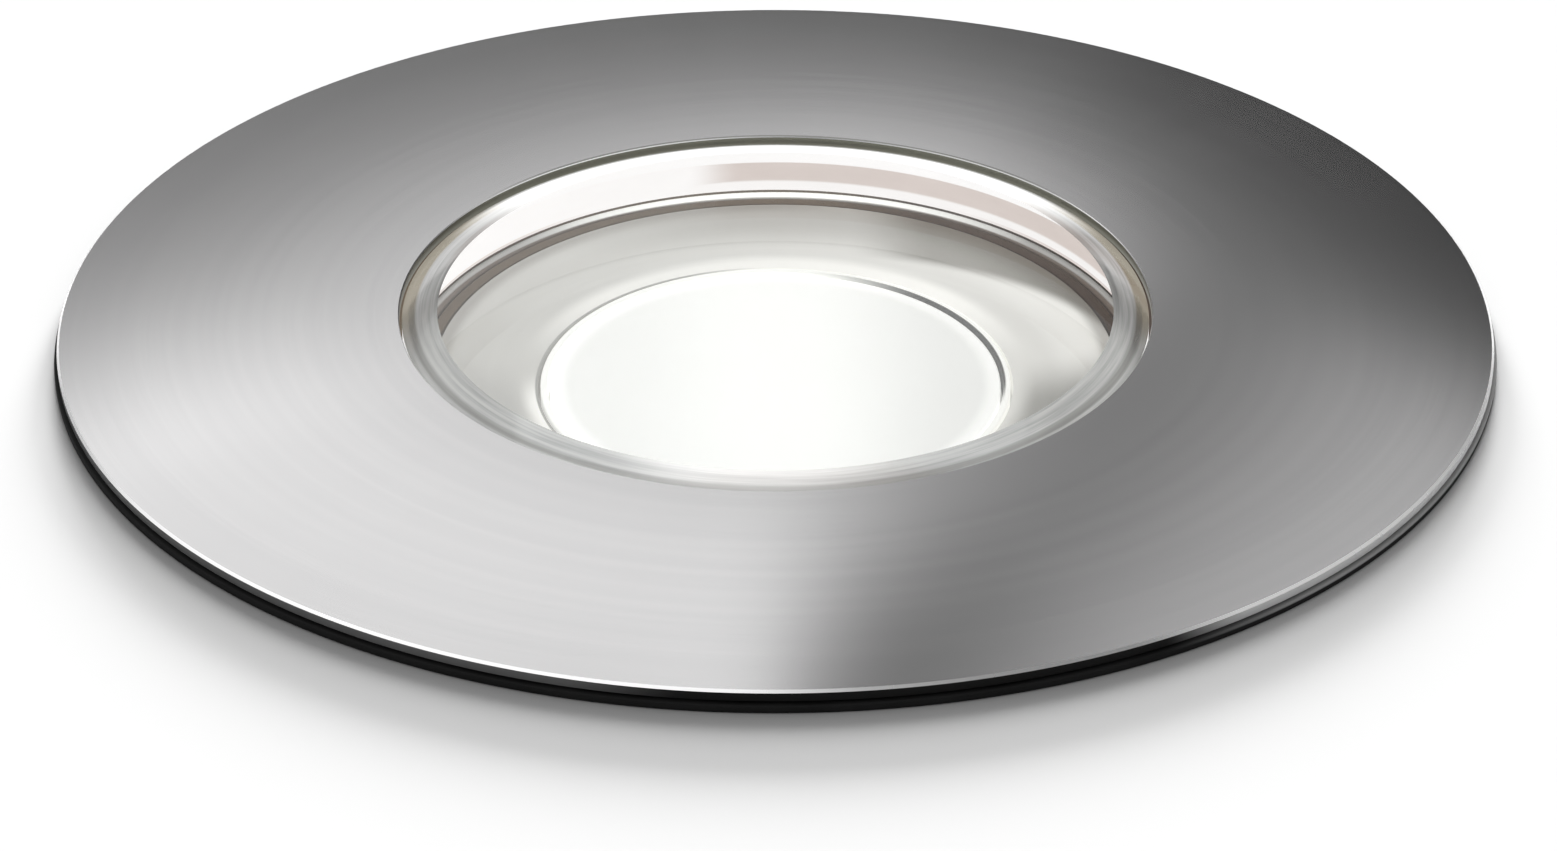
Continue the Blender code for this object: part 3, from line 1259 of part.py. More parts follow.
def build_clips(luminaire):
    """Each clip's fixed pieces ride on the luminaire; its arm hangs from a hinge."""
    mounts = []
    hinges = []
    for index, angle in enumerate(clip_angles()):
        place = (pin_radius_out * cos(angle), pin_radius_out * sin(angle), pin_height)
        mounts.append(empty(f"clip_mount_{index + 1}", luminaire, place, angle))
        hinges.append(empty(f"clip_hinge_{index + 1}", luminaire, place, angle))
    here = (0, 0, 0)
    for body, stem, finish, parents in (
            (clip_bracket(), "clip_bracket", "zinc", mounts),
            (clip_pin(), "clip_pin", "bright_steel", mounts),
            (clip_arm(), "clip_arm", "spring_steel", hinges)):
        settle(body, stem, finish, parents[0], here)
        copies(body, numbered(stem, CLIP_COUNT)[1:], parents[1:], [here] * CLIP_COUNT)
    for name, mount in zip(numbered("clip_spring", CLIP_COUNT), mounts):
        tube(name, "clip_spring", spring_route(), SPRING_WIRE_RADIUS, "spring_steel", mount)

    head_seat = pad_face() + SEAT_GAP + BRACKET_THICKNESS + SEAT_GAP - pin_radius_out
    names = numbered("bracket_screw", CLIP_COUNT)
    screw = screw_body(names[0], BRACKET_SCREW_RADIUS, BRACKET_SCREW_LENGTH)
    screw.data.transform(Matrix.Rotation(pi / 2, 4, "Y"))
    seat = (head_seat, 0, -BRACKET_SCREW_DROP)
    settle(screw, "bracket_screw", "zinc", mounts[0], seat)
    copies(screw, names[1:], mounts[1:], [seat] * CLIP_COUNT)


def main():
    clear_scene()
    root = empty("spotlight")
    luminaire = empty("luminaire", root, (0, 0, ground_level))
    build_cover_ring(luminaire)
    build_rim_gasket(luminaire)
    build_glass(luminaire)
    build_glass_seals(luminaire)
    build_ring_studs(luminaire)
    build_housing(luminaire)
    build_dish(luminaire)
    build_lens(luminaire)
    build_mixing_cup(luminaire)
    build_led(luminaire)
    build_heat_sink(luminaire)
    build_circlip(luminaire)
    build_driver(luminaire)
    build_terminal_block(luminaire)
    build_leads(luminaire)
    build_base_cap(luminaire)
    build_cap_ring(luminaire)
    build_gland(luminaire)
    build_vent_plug(luminaire)
    build_clips(luminaire)
    build_sleeve(root)
    build_sleeve_base(root)
    print(f"sleeve top at {sleeve_top:.4f} m, cover ring radius {ring_outer:.4f} m, "
          f"least gap between spring turns {least_coil_gap():.5f} m")


main()
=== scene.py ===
# %% [markdown]
# # An in-ground spotlight
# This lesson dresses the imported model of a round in-ground spotlight and sets it in a small white studio.
# A steel ring lies on a rubber gasket round a thick flush glass. Under the glass an opal lens glows in a
# shallow dish. Below the ground are a cast housing, three spring clips, a cable gland and a plastic sleeve.
# Lengths are metres, +Z is up and the lamp's axis is the Z axis.

# %% Load the frame
import json
from math import cos, pi, radians, sin, sqrt, tan, tau

import bmesh
import bpy
from mathutils import Matrix, Vector


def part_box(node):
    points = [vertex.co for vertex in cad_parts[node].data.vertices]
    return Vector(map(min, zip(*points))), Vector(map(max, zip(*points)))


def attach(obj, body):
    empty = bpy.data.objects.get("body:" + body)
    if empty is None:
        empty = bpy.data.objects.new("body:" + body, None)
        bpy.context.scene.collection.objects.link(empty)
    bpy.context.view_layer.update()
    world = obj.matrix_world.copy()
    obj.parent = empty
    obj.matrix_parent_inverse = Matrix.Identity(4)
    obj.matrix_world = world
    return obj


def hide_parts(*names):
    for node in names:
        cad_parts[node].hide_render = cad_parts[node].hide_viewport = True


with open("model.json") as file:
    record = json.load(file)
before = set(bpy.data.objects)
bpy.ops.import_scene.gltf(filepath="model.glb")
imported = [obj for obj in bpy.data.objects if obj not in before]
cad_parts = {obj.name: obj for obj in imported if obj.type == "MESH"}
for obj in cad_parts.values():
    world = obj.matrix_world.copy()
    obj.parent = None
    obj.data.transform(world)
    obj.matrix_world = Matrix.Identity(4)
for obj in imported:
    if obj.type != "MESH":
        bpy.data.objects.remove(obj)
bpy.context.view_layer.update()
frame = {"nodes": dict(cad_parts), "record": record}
for plain in list(bpy.data.materials):
    bpy.data.materials.remove(plain)

# %% [markdown]
# ## The sizes that the pieces share
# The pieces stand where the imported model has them, so a box round a CAD node gives most places. Only radii
# and heights that lie inside a node's box are written out here.

# %% Sizes
GAP = 0.0003
ring_low, ring_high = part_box("cover_ring")
glass_low, glass_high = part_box("glass")
gasket_low, gasket_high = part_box("rim_gasket")
ring_radius, ring_top, ring_base = ring_high.x, ring_high.z, ring_low.z
glass_radius, glass_base = glass_high.x, glass_low.z
ring_hole = glass_radius + GAP
ground, gasket_top = gasket_low.z, gasket_high.z
HOUSING_RADIUS = 0.0466
CAP_SCREW_CIRCLE, STUD_CIRCLE = 0.0500, 0.0543
PAD_FACE, PAD_HALF, PAD_SCREW_HEIGHT = 0.0480, 0.0098, 0.1244
PIN_REACH, PIN_HEIGHT = 0.0535, 0.1349
print(f"Ring {2000 * ring_radius:.1f} mm across, glass {2000 * glass_radius:.1f} mm")

# %% [markdown]
# ## Turned pieces
# Most of this object comes off a lathe, or out of a round mould. A lathe cuts one outline all the way round,
# and so does a spin in bmesh: the outline is drawn once, as points of radius and height, and spun round the
# Z axis. A Screw modifier would do the same. The spin is used because its outline can be rounded first, point
# by point: no real edge is sharp, and the small arc is what catches the light.

# %% Turning
SHARP_EDGE, ALMOST_STRAIGHT = radians(35), radians(160)


def soft_corners(outline, radius, steps=3, sharp=()):
    """Rounds the corners of a closed outline; the numbers in sharp name corners that stay."""
    rounded = []
    for index, point in enumerate(outline):
        here = Vector(point)
        back = Vector(outline[index - 1]) - here
        ahead = Vector(outline[(index + 1) % len(outline)]) - here
        corner = back.angle(ahead)
        if index in sharp or corner > ALMOST_STRAIGHT:
            rounded.append(tuple(here))
            continue
        trim = min(radius / tan(corner / 2), 0.45 * back.length, 0.45 * ahead.length)
        start, end = here + back.normalized() * trim, here + ahead.normalized() * trim
        for step in range(steps + 1):
            share = step / steps
            spot = start * (1 - share) ** 2 + here * 2 * share * (1 - share) + end * share ** 2
            rounded.append(tuple(spot))
    return rounded


def linked(name, data):
    made = bpy.data.objects.new(name, data)
    bpy.context.scene.collection.objects.link(made)
    return made


def smooth(mesh):
    mesh.shade_smooth()
    mesh.set_sharp_from_angle(angle=SHARP_EDGE)
    return mesh


def object_from(shape, name):
    """Turns a bmesh into a smooth-shaded object with its sharp edges marked."""
    bmesh.ops.remove_doubles(shape, verts=shape.verts[:], dist=1e-6)
    bmesh.ops.recalc_face_normals(shape, faces=shape.faces[:])
    mesh = bpy.data.meshes.new(name)
    shape.to_mesh(mesh)
    shape.free()
    return linked(name, smooth(mesh))


def dress(piece, *finishes):
    """Gives a piece its materials by name, in place of any that it had."""
    piece.data.materials.clear()
    for name in finishes:
        piece.data.materials.append(bpy.data.materials[name])
    return piece


def add_turned(shape, outline, steps):
    """Spins an outline round Z; an outline that touches the axis closes on it."""
    points = [shape.verts.new((radius, 0, height)) for radius, height in outline]
    pairs = list(zip(points, points[1:] + points[:1]))
    on_axis = [pair for pair in pairs if pair[0].co.x == 0 and pair[1].co.x == 0]
    edges = [shape.edges.new(pair) for pair in pairs if pair not in on_axis]
    bmesh.ops.spin(shape, geom=points + edges, cent=(0, 0, 0), axis=(0, 0, 1),
                   angle=tau, steps=steps, use_merge=True)


def turned(name, outline, steps=192, soft=0.0, arc=3, sharp=()):
    """A turned piece; soft is the radius of its corners and arc the steps in each."""
    shape = bmesh.new()
    add_turned(shape, soft_corners(outline, soft, arc, sharp) if soft else outline, steps)
    return object_from(shape, name)


def combine(body, tool, operation):
    """Joins a tool to a body or cuts it out, and keeps the result as a plain mesh."""
    step = body.modifiers.new("combine", "BOOLEAN")
    step.operation, step.solver, step.object = operation, "EXACT", tool
    solid = body.evaluated_get(bpy.context.evaluated_depsgraph_get())
    mesh = bpy.data.meshes.new_from_object(solid)
    body.modifiers.clear()
    body.data = smooth(mesh)
    bpy.data.objects.remove(tool)


def cut(body, tool):
    combine(body, tool, "DIFFERENCE")


def join(body, tool):
    combine(body, tool, "UNION")


def seat(piece, slot, *nodes, body="luminaire"):
    """Gives a finished piece its body and hides the CAD nodes that it stands for; slot is not used."""
    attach(piece, body)
    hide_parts(*nodes)
    print(f"{piece.name}: {len(piece.data.polygons)} faces on {body}")


# %% [markdown]
# ## Plain blocks and rods
# A few pieces need a bar, a rod or a bent strip: cutters for holes, bosses, ears. Each helper fills a bmesh,
# and `pointed` turns what was built along Z so that it points along X or Y.

# %% Blocks and rods
def rod(name, radius, low, high, sides=48, place=(0, 0), along="Z", edge=0.0):
    """A round or many-sided bar between two heights, turned to lie along an axis."""
    shape = bmesh.new()
    bmesh.ops.create_cone(shape, cap_ends=True, segments=sides, radius1=radius, radius2=radius,
                          depth=high - low, matrix=Matrix.Translation((*place, (low + high) / 2)))
    if edge:
        rims = [line for line in shape.edges if abs(line.verts[0].co.z - line.verts[1].co.z) < 1e-7]
        bmesh.ops.bevel(shape, geom=rims, offset=edge, segments=2, profile=0.5, affect="EDGES")
    pointed(shape, along)
    return object_from(shape, name)


def pointed(shape, along):
    turn = {"X": Matrix.Rotation(pi / 2, 3, "Y"), "Y": Matrix.Rotation(-pi / 2, 3, "X")}.get(along)
    if turn:
        bmesh.ops.rotate(shape, verts=shape.verts[:], cent=(0, 0, 0), matrix=turn)


def prism(name, outline, start, end, along="Z"):
    """Pulls a flat outline along Z, or an outline of (x, z) points along Y."""
    shape = bmesh.new()
    lift = (lambda x, y, h: (x, h, y)) if along == "Y" else (lambda x, y, h: (x, y, h))
    rows = [[shape.verts.new(lift(x, y, h)) for x, y in outline] for h in (start, end)]
    shape.faces.new(rows[0])
    shape.faces.new(rows[1])
    for index in range(len(outline)):
        after = (index + 1) % len(outline)
        shape.faces.new((rows[0][index], rows[0][after], rows[1][after], rows[1][index]))
    return object_from(shape, name)


def block(name, low, high):
    x, y, z = low
    return prism(name, [(x, y), (high[0], y), (high[0], high[1]), (x, high[1])], z, high[2])


def placed(piece, move=(0, 0, 0), turn=0.0):
    """Moves a piece's mesh, then turns it round Z; the object stays at the origin."""
    piece.data.transform(Matrix.Rotation(turn, 4, "Z") @ Matrix.Translation(move))
    return piece


def spots_round(count, radius, start):
    """Flat places on a circle round the lamp's axis, from an angle in degrees."""
    angles = [radians(start + 360 / count * index) for index in range(count)]
    return [(radius * cos(angle), radius * sin(angle)) for angle in angles]


# %% [markdown]
# ## Geometry Nodes for what repeats
# Screws, nuts, clips and ribs are one shape set several times round the lamp's axis. Copying objects in a loop
# would work, but the rule is the same each time, so it is written once as a node tree: points on a circle, the
# piece set on each point and turned outwards. A second tree sweeps a rounded section round the axis and makes
# every plain ring, and a third lays a wire along a line for the springs. Each tree ends in a plain mesh with
# its material. So that a rule reads as a rule, a node's output is held as a `Value`, and sums and products of
# values make the Math nodes.

# %% Node tree helpers
VECTOR, SEPARATE, COMBINE = "ShaderNodeVectorMath", "ShaderNodeSeparateXYZ", "ShaderNodeCombineXYZ"


class Value:
    """One output of a node; sums, differences and products of values become Math nodes."""

    def __init__(self, socket):
        self.socket, self.tree = socket, socket.id_data

    def __getitem__(self, name):
        return Value(self.socket.node.outputs[name])

    def __add__(self, other):
        return maths("ADD", self, other)

    def __sub__(self, other):
        return maths("SUBTRACT", self, other)

    def __rsub__(self, other):
        return maths("SUBTRACT", other, self)

    def __mul__(self, other):
        return maths("MULTIPLY", self, other)


def put(socket, value):
    """Links a value to an input, or sets the input; a single number for a colour is a grey."""
    if isinstance(value, Value):
        value.tree.links.new(value.socket, socket)
    elif socket.type == "RGBA":
        socket.default_value = (value, value, value, 1.0) if isinstance(value, float) else (*value, 1.0)
    else:
        socket.default_value = value


def fill(node, name, value):
    name = name.replace("_", " ")
    put(next(socket for socket in node.inputs if socket.name == name and socket.enabled), value)


def add(tree, kind, settings=None, **values):
    """A node with its settings, and its inputs filled by name; gives its first output."""
    node = tree.nodes.new(kind)
    for key, value in (settings or {}).items():
        setattr(node, key, value)
    for name, value in values.items():
        fill(node, name, value)
    return Value(node.outputs[0])


def maths(operation, *values, kind="ShaderNodeMath", clamp=False):
    """A Math or Vector Math node on values and plain numbers."""
    tree = next(value.tree for value in values if isinstance(value, Value))
    node = tree.nodes.new(kind)
    node.operation = operation
    if clamp:
        node.use_clamp = True
    for socket, value in zip(node.inputs, values):
        put(socket, value)
    return Value(node.outputs[0])


def new_tree(name, **inputs):
    """A Geometry Nodes tree with named inputs; returns it with its input values by name."""
    tree = bpy.data.node_groups.new(name, "GeometryNodeTree")
    tree.is_modifier = True
    for label, kind in inputs.items():
        tree.interface.new_socket(label.replace("_", " "), in_out="INPUT", socket_type="NodeSocket" + kind)
    tree.interface.new_socket("Geometry", in_out="OUTPUT", socket_type="NodeSocketGeometry")
    entry = tree.nodes.new("NodeGroupInput")
    return tree, {label: Value(socket) for label, socket in zip(inputs, entry.outputs)}


def close_tree(tree, geometry, material):
    """Every tree ends as a plain mesh with its material."""
    real = add(tree, "GeometryNodeRealizeInstances", Geometry=geometry)
    dressed = add(tree, "GeometryNodeSetMaterial", Geometry=real, Material=material)
    put(tree.nodes.new("NodeGroupOutput").inputs[0], dressed)


def made_by(tree, name, finish, **values):
    """Runs a tree on an empty mesh and keeps the result as a plain object."""
    host = linked(name, bpy.data.meshes.new(name))
    modifier = host.modifiers.new("maker", "NODES")
    modifier.node_group = tree
    values["Material"] = bpy.data.materials[finish]
    sockets = {item.name: item.identifier for item in tree.interface.items_tree if item.in_out == "INPUT"}
    for label, value in values.items():
        modifier[sockets[label.replace("_", " ")]] = value
    solid = host.evaluated_get(bpy.context.evaluated_depsgraph_get())
    mesh = bpy.data.meshes.new_from_object(solid)
    host.modifiers.clear()
    shape = bmesh.new()
    shape.from_mesh(mesh)
    bmesh.ops.recalc_face_normals(shape, faces=shape.faces[:])
    shape.to_mesh(mesh)
    shape.free()
    host.data = smooth(mesh)
    return host


# %% The ring tree
ring_tree, given = new_tree("Plain ring", Inner="Float", Outer="Float", Bottom="Float", Top="Float",
                            Edge="Float", Edge_steps="Int", Steps="Int", Material="Material")
path = add(ring_tree, "GeometryNodeCurvePrimitiveCircle", Resolution=given["Steps"],
           Radius=(given["Inner"] + given["Outer"]) * 0.5)
section = add(ring_tree, "GeometryNodeCurvePrimitiveQuadrilateral", Width=given["Outer"] - given["Inner"],
              Height=given["Top"] - given["Bottom"])
section = add(ring_tree, "GeometryNodeFilletCurve", {"mode": "POLY"}, Curve=section,
              Count=given["Edge_steps"], Radius=given["Edge"], Limit_Radius=True)
swept = add(ring_tree, "GeometryNodeCurveToMesh", Curve=path, Profile_Curve=section)
lift = add(ring_tree, COMBINE, Z=(given["Top"] + given["Bottom"]) * 0.5)
raised = add(ring_tree, "GeometryNodeSetPosition", Geometry=swept, Offset=lift)
close_tree(ring_tree, raised, given["Material"])


def seat_ring(name, finish, node, inner, outer, edge, slot=None, spot=(0, 0, 0), edge_steps=3, steps=144):
    """A plain ring as high as the CAD node that it stands for."""
    low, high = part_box(node)
    ring = made_by(ring_tree, name, finish, Inner=inner, Outer=outer, Bottom=low.z, Top=high.z, Edge=edge,
                   Edge_steps=edge_steps, Steps=steps)
    seat(placed(ring, spot), slot or finish, node)


# %% The tree that sets pieces round the axis
round_tree, given = new_tree("Set round the axis", Piece="Object", Count="Int", Radius="Float",
                             Height="Float", Start="Float", Material="Material")
number = add(round_tree, "GeometryNodeInputIndex")
angle = maths("MULTIPLY_ADD", number, maths("DIVIDE", tau, given["Count"]), given["Start"])
place = add(round_tree, COMBINE, X=maths("COSINE", angle) * given["Radius"],
            Y=maths("SINE", angle) * given["Radius"], Z=given["Height"])
spots = add(round_tree, "GeometryNodePoints", Count=given["Count"], Position=place)
turning = add(round_tree, "FunctionNodeEulerToRotation", Euler=add(round_tree, COMBINE, Z=angle))
source = add(round_tree, "GeometryNodeObjectInfo", Object=given["Piece"])["Geometry"]
copies = add(round_tree, "GeometryNodeInstanceOnPoints", Points=spots, Instance=source, Rotation=turning)
close_tree(round_tree, copies, given["Material"])


def set_round(name, piece, finish, count, radius=0.0, height=0.0, start=0.0):
    return made_by(round_tree, name, finish, Piece=piece, Count=count, Radius=radius, Height=height,
                   Start=start)


def seat_round(name, piece, finish, node, count, **where):
    """Sets a piece round the axis in place of numbered CAD nodes, and removes the one it copies."""
    made = set_round(name, piece, finish, count, **where)
    bpy.data.objects.remove(piece)
    seat(made, finish, *[f"{node}_{index + 1}" for index in range(count)])


# %% The wire tree
wire_tree, given = new_tree("Wire along a line", Line="Object", Radius="Float", Sides="Int",
                            Material="Material")
line = add(wire_tree, "GeometryNodeObjectInfo", Object=given["Line"])["Geometry"]
section = add(wire_tree, "GeometryNodeCurvePrimitiveCircle", Resolution=given["Sides"], Radius=given["Radius"])
swept = add(wire_tree, "GeometryNodeCurveToMesh", Curve=add(wire_tree, "GeometryNodeMeshToCurve", Mesh=line),
            Profile_Curve=section, Fill_Caps=True)
close_tree(wire_tree, swept, given["Material"])


def wire(name, finish, points, radius, sides=12):
    """A round wire with closed ends along a list of points."""
    mesh = bpy.data.meshes.new(name + "_line")
    mesh.from_pydata(points, [(i, i + 1) for i in range(len(points) - 1)], [])
    guide = linked(name + "_line", mesh)
    made = made_by(wire_tree, name, finish, Line=guide, Radius=radius, Sides=sides)
    bpy.data.objects.remove(guide)
    return made


# %% [markdown]
# ## Shared surface effects
# Real finishes are never one flat colour. Two effects come back in nearly every material, so each is a shader
# node group that is built once: the fine circular grain of a turned or brushed face, and the soft mottling and
# fine grit of a moulded, cast or plated one. Both read the surface's own place, so they stay put when the
# piece moves. A group only gives values. The shader itself stays in each material.

# %% Shader groups
NOISE = "ShaderNodeTexNoise"


def shader_group(name, inputs, outputs):
    group = bpy.data.node_groups.new(name, "ShaderNodeTree")
    group.interface.new_socket("Place", in_out="INPUT", socket_type="NodeSocketVector")
    for label, value in inputs.items():
        socket = group.interface.new_socket(label, in_out="INPUT", socket_type="NodeSocketFloat")
        socket.default_value = value
    for label in outputs:
        group.interface.new_socket(label, in_out="OUTPUT", socket_type="NodeSocketFloat")
    entry = group.nodes.new("NodeGroupInput")
    given = {label: Value(entry.outputs[label]) for label in ("Place", *inputs)}
    return group, given, group.nodes.new("NodeGroupOutput").inputs


def flattened(place, middle=(0.0, 0.0)):
    """A place with its height taken away, measured from the axis or another middle."""
    parts = add(place.tree, SEPARATE, Vector=place)
    return add(place.tree, COMBINE, X=parts["X"] - middle[0], Y=parts["Y"] - middle[1])


def length(vector):
    return maths("LENGTH", vector, kind=VECTOR)["Value"]


def outward(vector):
    return maths("NORMALIZE", vector, kind=VECTOR)


def scaled(vector, amount):
    return add(vector.tree, VECTOR, {"operation": "SCALE"}, Vector=vector, Scale=amount)


# Circular grain: noise drawn out round the axis and very fine across it
turned_grain, given, result = shader_group("Turned grain", {"Lines per metre": 4000.0, "Breaks": 3.0},
                                           ("Grain", "Bands"))
flat = flattened(given["Place"])
depth = length(flat) + add(turned_grain, SEPARATE, Vector=given["Place"])["Z"]
across = add(turned_grain, COMBINE, Z=depth * given["Lines per metre"])
polar = maths("ADD", scaled(outward(flat), given["Breaks"]), across, kind=VECTOR)
put(result["Grain"], add(turned_grain, NOISE, Vector=polar, Scale=1.0, Detail=3.0, Roughness=0.65))
put(result["Bands"], add(turned_grain, NOISE, Vector=polar, Scale=0.12, Detail=2.0))

# Mottle: slow patches, and grit of a given size
mottle, given, result = shader_group("Mottle and grit", {"Patch scale": 60.0, "Grit scale": 2500.0},
                                     ("Patches", "Grit"))
slow = add(mottle, NOISE, Vector=given["Place"], Scale=given["Patch scale"], Detail=3.0, Roughness=0.6)
put(result["Patches"], add(mottle, "ShaderNodeMapRange", Value=slow, From_Min=0.3, From_Max=0.7))
put(result["Grit"], add(mottle, NOISE, Vector=given["Place"], Scale=given["Grit scale"], Detail=2.0))
print("Shader groups:", turned_grain.name, "and", mottle.name)

# %% [markdown]
# ## How a finish is put together
# Each material starts from one Principled shader. Its constant numbers are set on the shader itself. What
# changes over the surface, a little lighter here, a little rougher there, is a mix between two values steered
# by one of the groups, and a Bump node turns the grain into a real catch of light.
#
# Some marks lie at one place only; apart from the lens's glow they are painted light and painted shade. Their
# masks are written in millimetres: `ring` by distance from the lamp's axis, `side` along X, Y or Z. A mask rises
# from its first number to its second, and it falls where the first is the larger. Masks are multiplied where
# marks have to meet.

# %% Finish helpers
MM = 0.001


def soft_step(value, start, end, low=0.0, high=1.0):
    """Goes softly from low to high between start and end, or back where start is the larger."""
    if start > end:
        start, end, low, high = end, start, high, low
    return add(value.tree, "ShaderNodeMapRange", {"interpolation_type": "SMOOTHSTEP"}, Value=value,
               From_Min=start, From_Max=end, To_Min=low, To_Max=high)


def vary(mask, low, high):
    return maths("MULTIPLY_ADD", mask, high - low, low)


def two_tone(mask, first, second):
    """A colour that goes from the first to the second as the mask goes from 0 to 1."""
    mix = mask.tree.nodes.new("ShaderNodeMix")
    mix.data_type = "RGBA"
    for index, value in ((0, mask), (6, first), (7, second)):
        put(mix.inputs[index], value)
    return Value(mix.outputs[2])


class Finish:
    """A material with one Principled shader, and the masks that paint it."""

    def __init__(self, name, colour, roughness, metallic=0.0, **constants):
        material = bpy.data.materials.new(name)
        material.use_nodes = True
        self.tree = material.node_tree
        self.shader = self.tree.nodes["Principled BSDF"]
        self.set(Base_Color=colour, Roughness=roughness, Metallic=metallic, **constants)
        self.place = add(self.tree, "ShaderNodeTexCoord")["Object"]

    def set(self, **values):
        for name, value in values.items():
            fill(self.shader, name, value)

    def group(self, group, **values):
        return add(self.tree, "ShaderNodeGroup", {"node_tree": group}, Place=self.place, **values)

    def side(self, axis, start, end):
        return soft_step(add(self.tree, SEPARATE, Vector=self.place)[axis], start * MM, end * MM)

    def ring(self, start, end, middle=(0.0, 0.0)):
        return soft_step(length(flattened(self.place, middle)), start * MM, end * MM)

    def paint_light_and_shade(self, mask, colour):
        """Paints light and shade into the base colour: one more colour, mixed in as far as the mask says."""
        before = Value(self.shader.inputs["Base Color"].links[0].from_socket)
        self.set(Base_Color=two_tone(mask, before, colour))

    def bump(self, height, strength, distance):
        grooves = add(self.tree, "ShaderNodeBump", Height=height, Strength=strength, Distance=distance)
        self.set(Normal=grooves)
        return grooves.socket.node


def grained(name, dark, light, rough, lines, breaks=3.0, depth=0.15, metallic=1.0, **constants):
    """Metal with circular grain: lighter and rougher lines that run round the axis."""
    made = Finish(name, light, rough[0], metallic, **constants)
    grain = made.group(turned_grain, Lines_per_metre=lines, Breaks=breaks)
    made.set(Base_Color=two_tone(grain["Bands"], dark, light), Roughness=vary(grain["Grain"], *rough))
    made.grooves = made.bump(grain["Grain"], depth, 0.00002)
    return made


def mottled(name, dark, light, rough, patches, grit, depth, distance=0.00005, **constants):
    """Cast, moulded, plated or rubber surface: soft patches of colour over a fine grit."""
    made = Finish(name, light, rough[0], **constants)
    spots = made.group(mottle, Patch_scale=patches, Grit_scale=grit)
    made.set(Base_Color=two_tone(spots["Patches"], dark, light), Roughness=vary(spots["Patches"], *rough))
    made.bump(spots["Grit"], depth, distance)
    return made


# %% [markdown]
# ## Brushed steel
# The cover ring was brushed on a turntable, so its scratches are circles. Light is thrown wide across a
# scratch and hardly at all along it, which is why the ring shows broad wedges of light and dark that run out
# from the middle. The shader does this with anisotropy. Its tangent runs round the axis, and a quarter turn
# spreads the light across the scratches. Brushing also takes a little more off towards the rim, so the face is
# faintly crowned. That is far less than the mesh could show, but the light sees it, so the shading normal
# leans out by a few degrees. Steel next to the far side of the hole mirrors the dark gap at the glass, so a
# narrow darker line is painted there.

# %% Brushed steel
def lean_out(finish, at_middle, at_rim):
    """Leans the flat top's shading normal away from the axis, by two angles; the sides keep theirs."""
    tree, flat = finish.tree, flattened(finish.place)
    normal = add(tree, "ShaderNodeNewGeometry")["Normal"]
    is_top = add(tree, "ShaderNodeMapRange", Value=add(tree, SEPARATE, Vector=normal)["Z"], From_Min=0.90,
                 From_Max=0.99)
    lean = add(tree, "ShaderNodeMapRange", {"clamp": False}, Value=length(flat), To_Min=tan(at_middle),
               From_Min=0.77 * ring_radius, From_Max=ring_radius, To_Max=tan(at_rim))
    tipped = maths("ADD", normal, scaled(outward(flat), lean * is_top), kind=VECTOR)
    fill(finish.grooves, "Normal", outward(tipped))


steel = grained("brushed_steel", (0.63, 0.625, 0.63), (0.69, 0.685, 0.685), (0.23, 0.27), 6000.0, 4.0, 0.04,
                Anisotropic=0.90, Anisotropic_Rotation=0.25)
steel.set(Tangent=add(steel.tree, "ShaderNodeTangent", {"direction_type": "RADIAL", "axis": "Z"}))
steel.paint_light_and_shade(steel.ring(42.8, 42.5) * steel.side("Y", 24, 34) * 0.6, (0.15, 0.155, 0.12))
lean_out(steel, radians(4.0), radians(8.6))

# %% [markdown]
# ## Bright parts: studs, pins, screws and the spun dish
# Bright steel is turned finer than it is brushed. The dish is thin aluminium spun over a form and left satin,
# with the faint rings of the spinning tool. Zinc plating is mottled, and spring steel is darker and smoother.
#
# In the photograph the dish is lit by the lens, more at the right than at the left, and part of it lies in a
# curved shadow. That light is too soft and too local for a lamp here, so it is painted. `wedge` is the shadow
# at the right, `near_left` and `near_right` darken the side next to the camera, and `wash`, `halo` and
# `left_halo` are a weak emission that brightens the bowl and the far and left side of the collar.
#
# The ring's cut edges differ from its face. The wall of its hole is dull and painted dark as shade, its outer
# side has a painted reflection, nearly black where it faces the dark floor shadow and light at the right, and
# the broken edges between them have a painted bright line.

# %% Other metals
grained("bright_steel", 0.62, (0.74, 0.74, 0.735), (0.20, 0.30), 7000.0, 2.0, 0.1)
dish = grained("satin_aluminium", (0.60, 0.59, 0.565), (0.68, 0.675, 0.655), (0.46, 0.54), 3000.0, 1.5,
               metallic=0.25, Emission_Strength=1.0)
wedge = dish.ring(38.6, 40.2, (0.0022, -0.0091)) * dish.side("X", 8, 19)
near = dish.side("Y", 5, -6)
near_right = near * dish.side("X", 0, 15) * dish.ring(26.8, 30.0)
near_left = near * dish.side("X", 0, -15) * dish.ring(28.0, 30.5)
dish.paint_light_and_shade(wedge * vary(dish.ring(34.0, 38.5), 0.45, 0.88), (0.13, 0.115, 0.085))
dish.paint_light_and_shade(near_right * 0.40, (0.12, 0.12, 0.105))
dish.paint_light_and_shade(near_left * 0.28, 0.12)
# Painted shade: the dish's far side and its lip at the left are darker.
dish.paint_light_and_shade(dish.side("Y", 31, 37) * 0.18, (0.12, 0.08, 0.05))
dish.paint_light_and_shade(dish.ring(36.6, 38.0) * dish.side("X", 10, -2) * 0.32, (0.12, 0.10, 0.08))
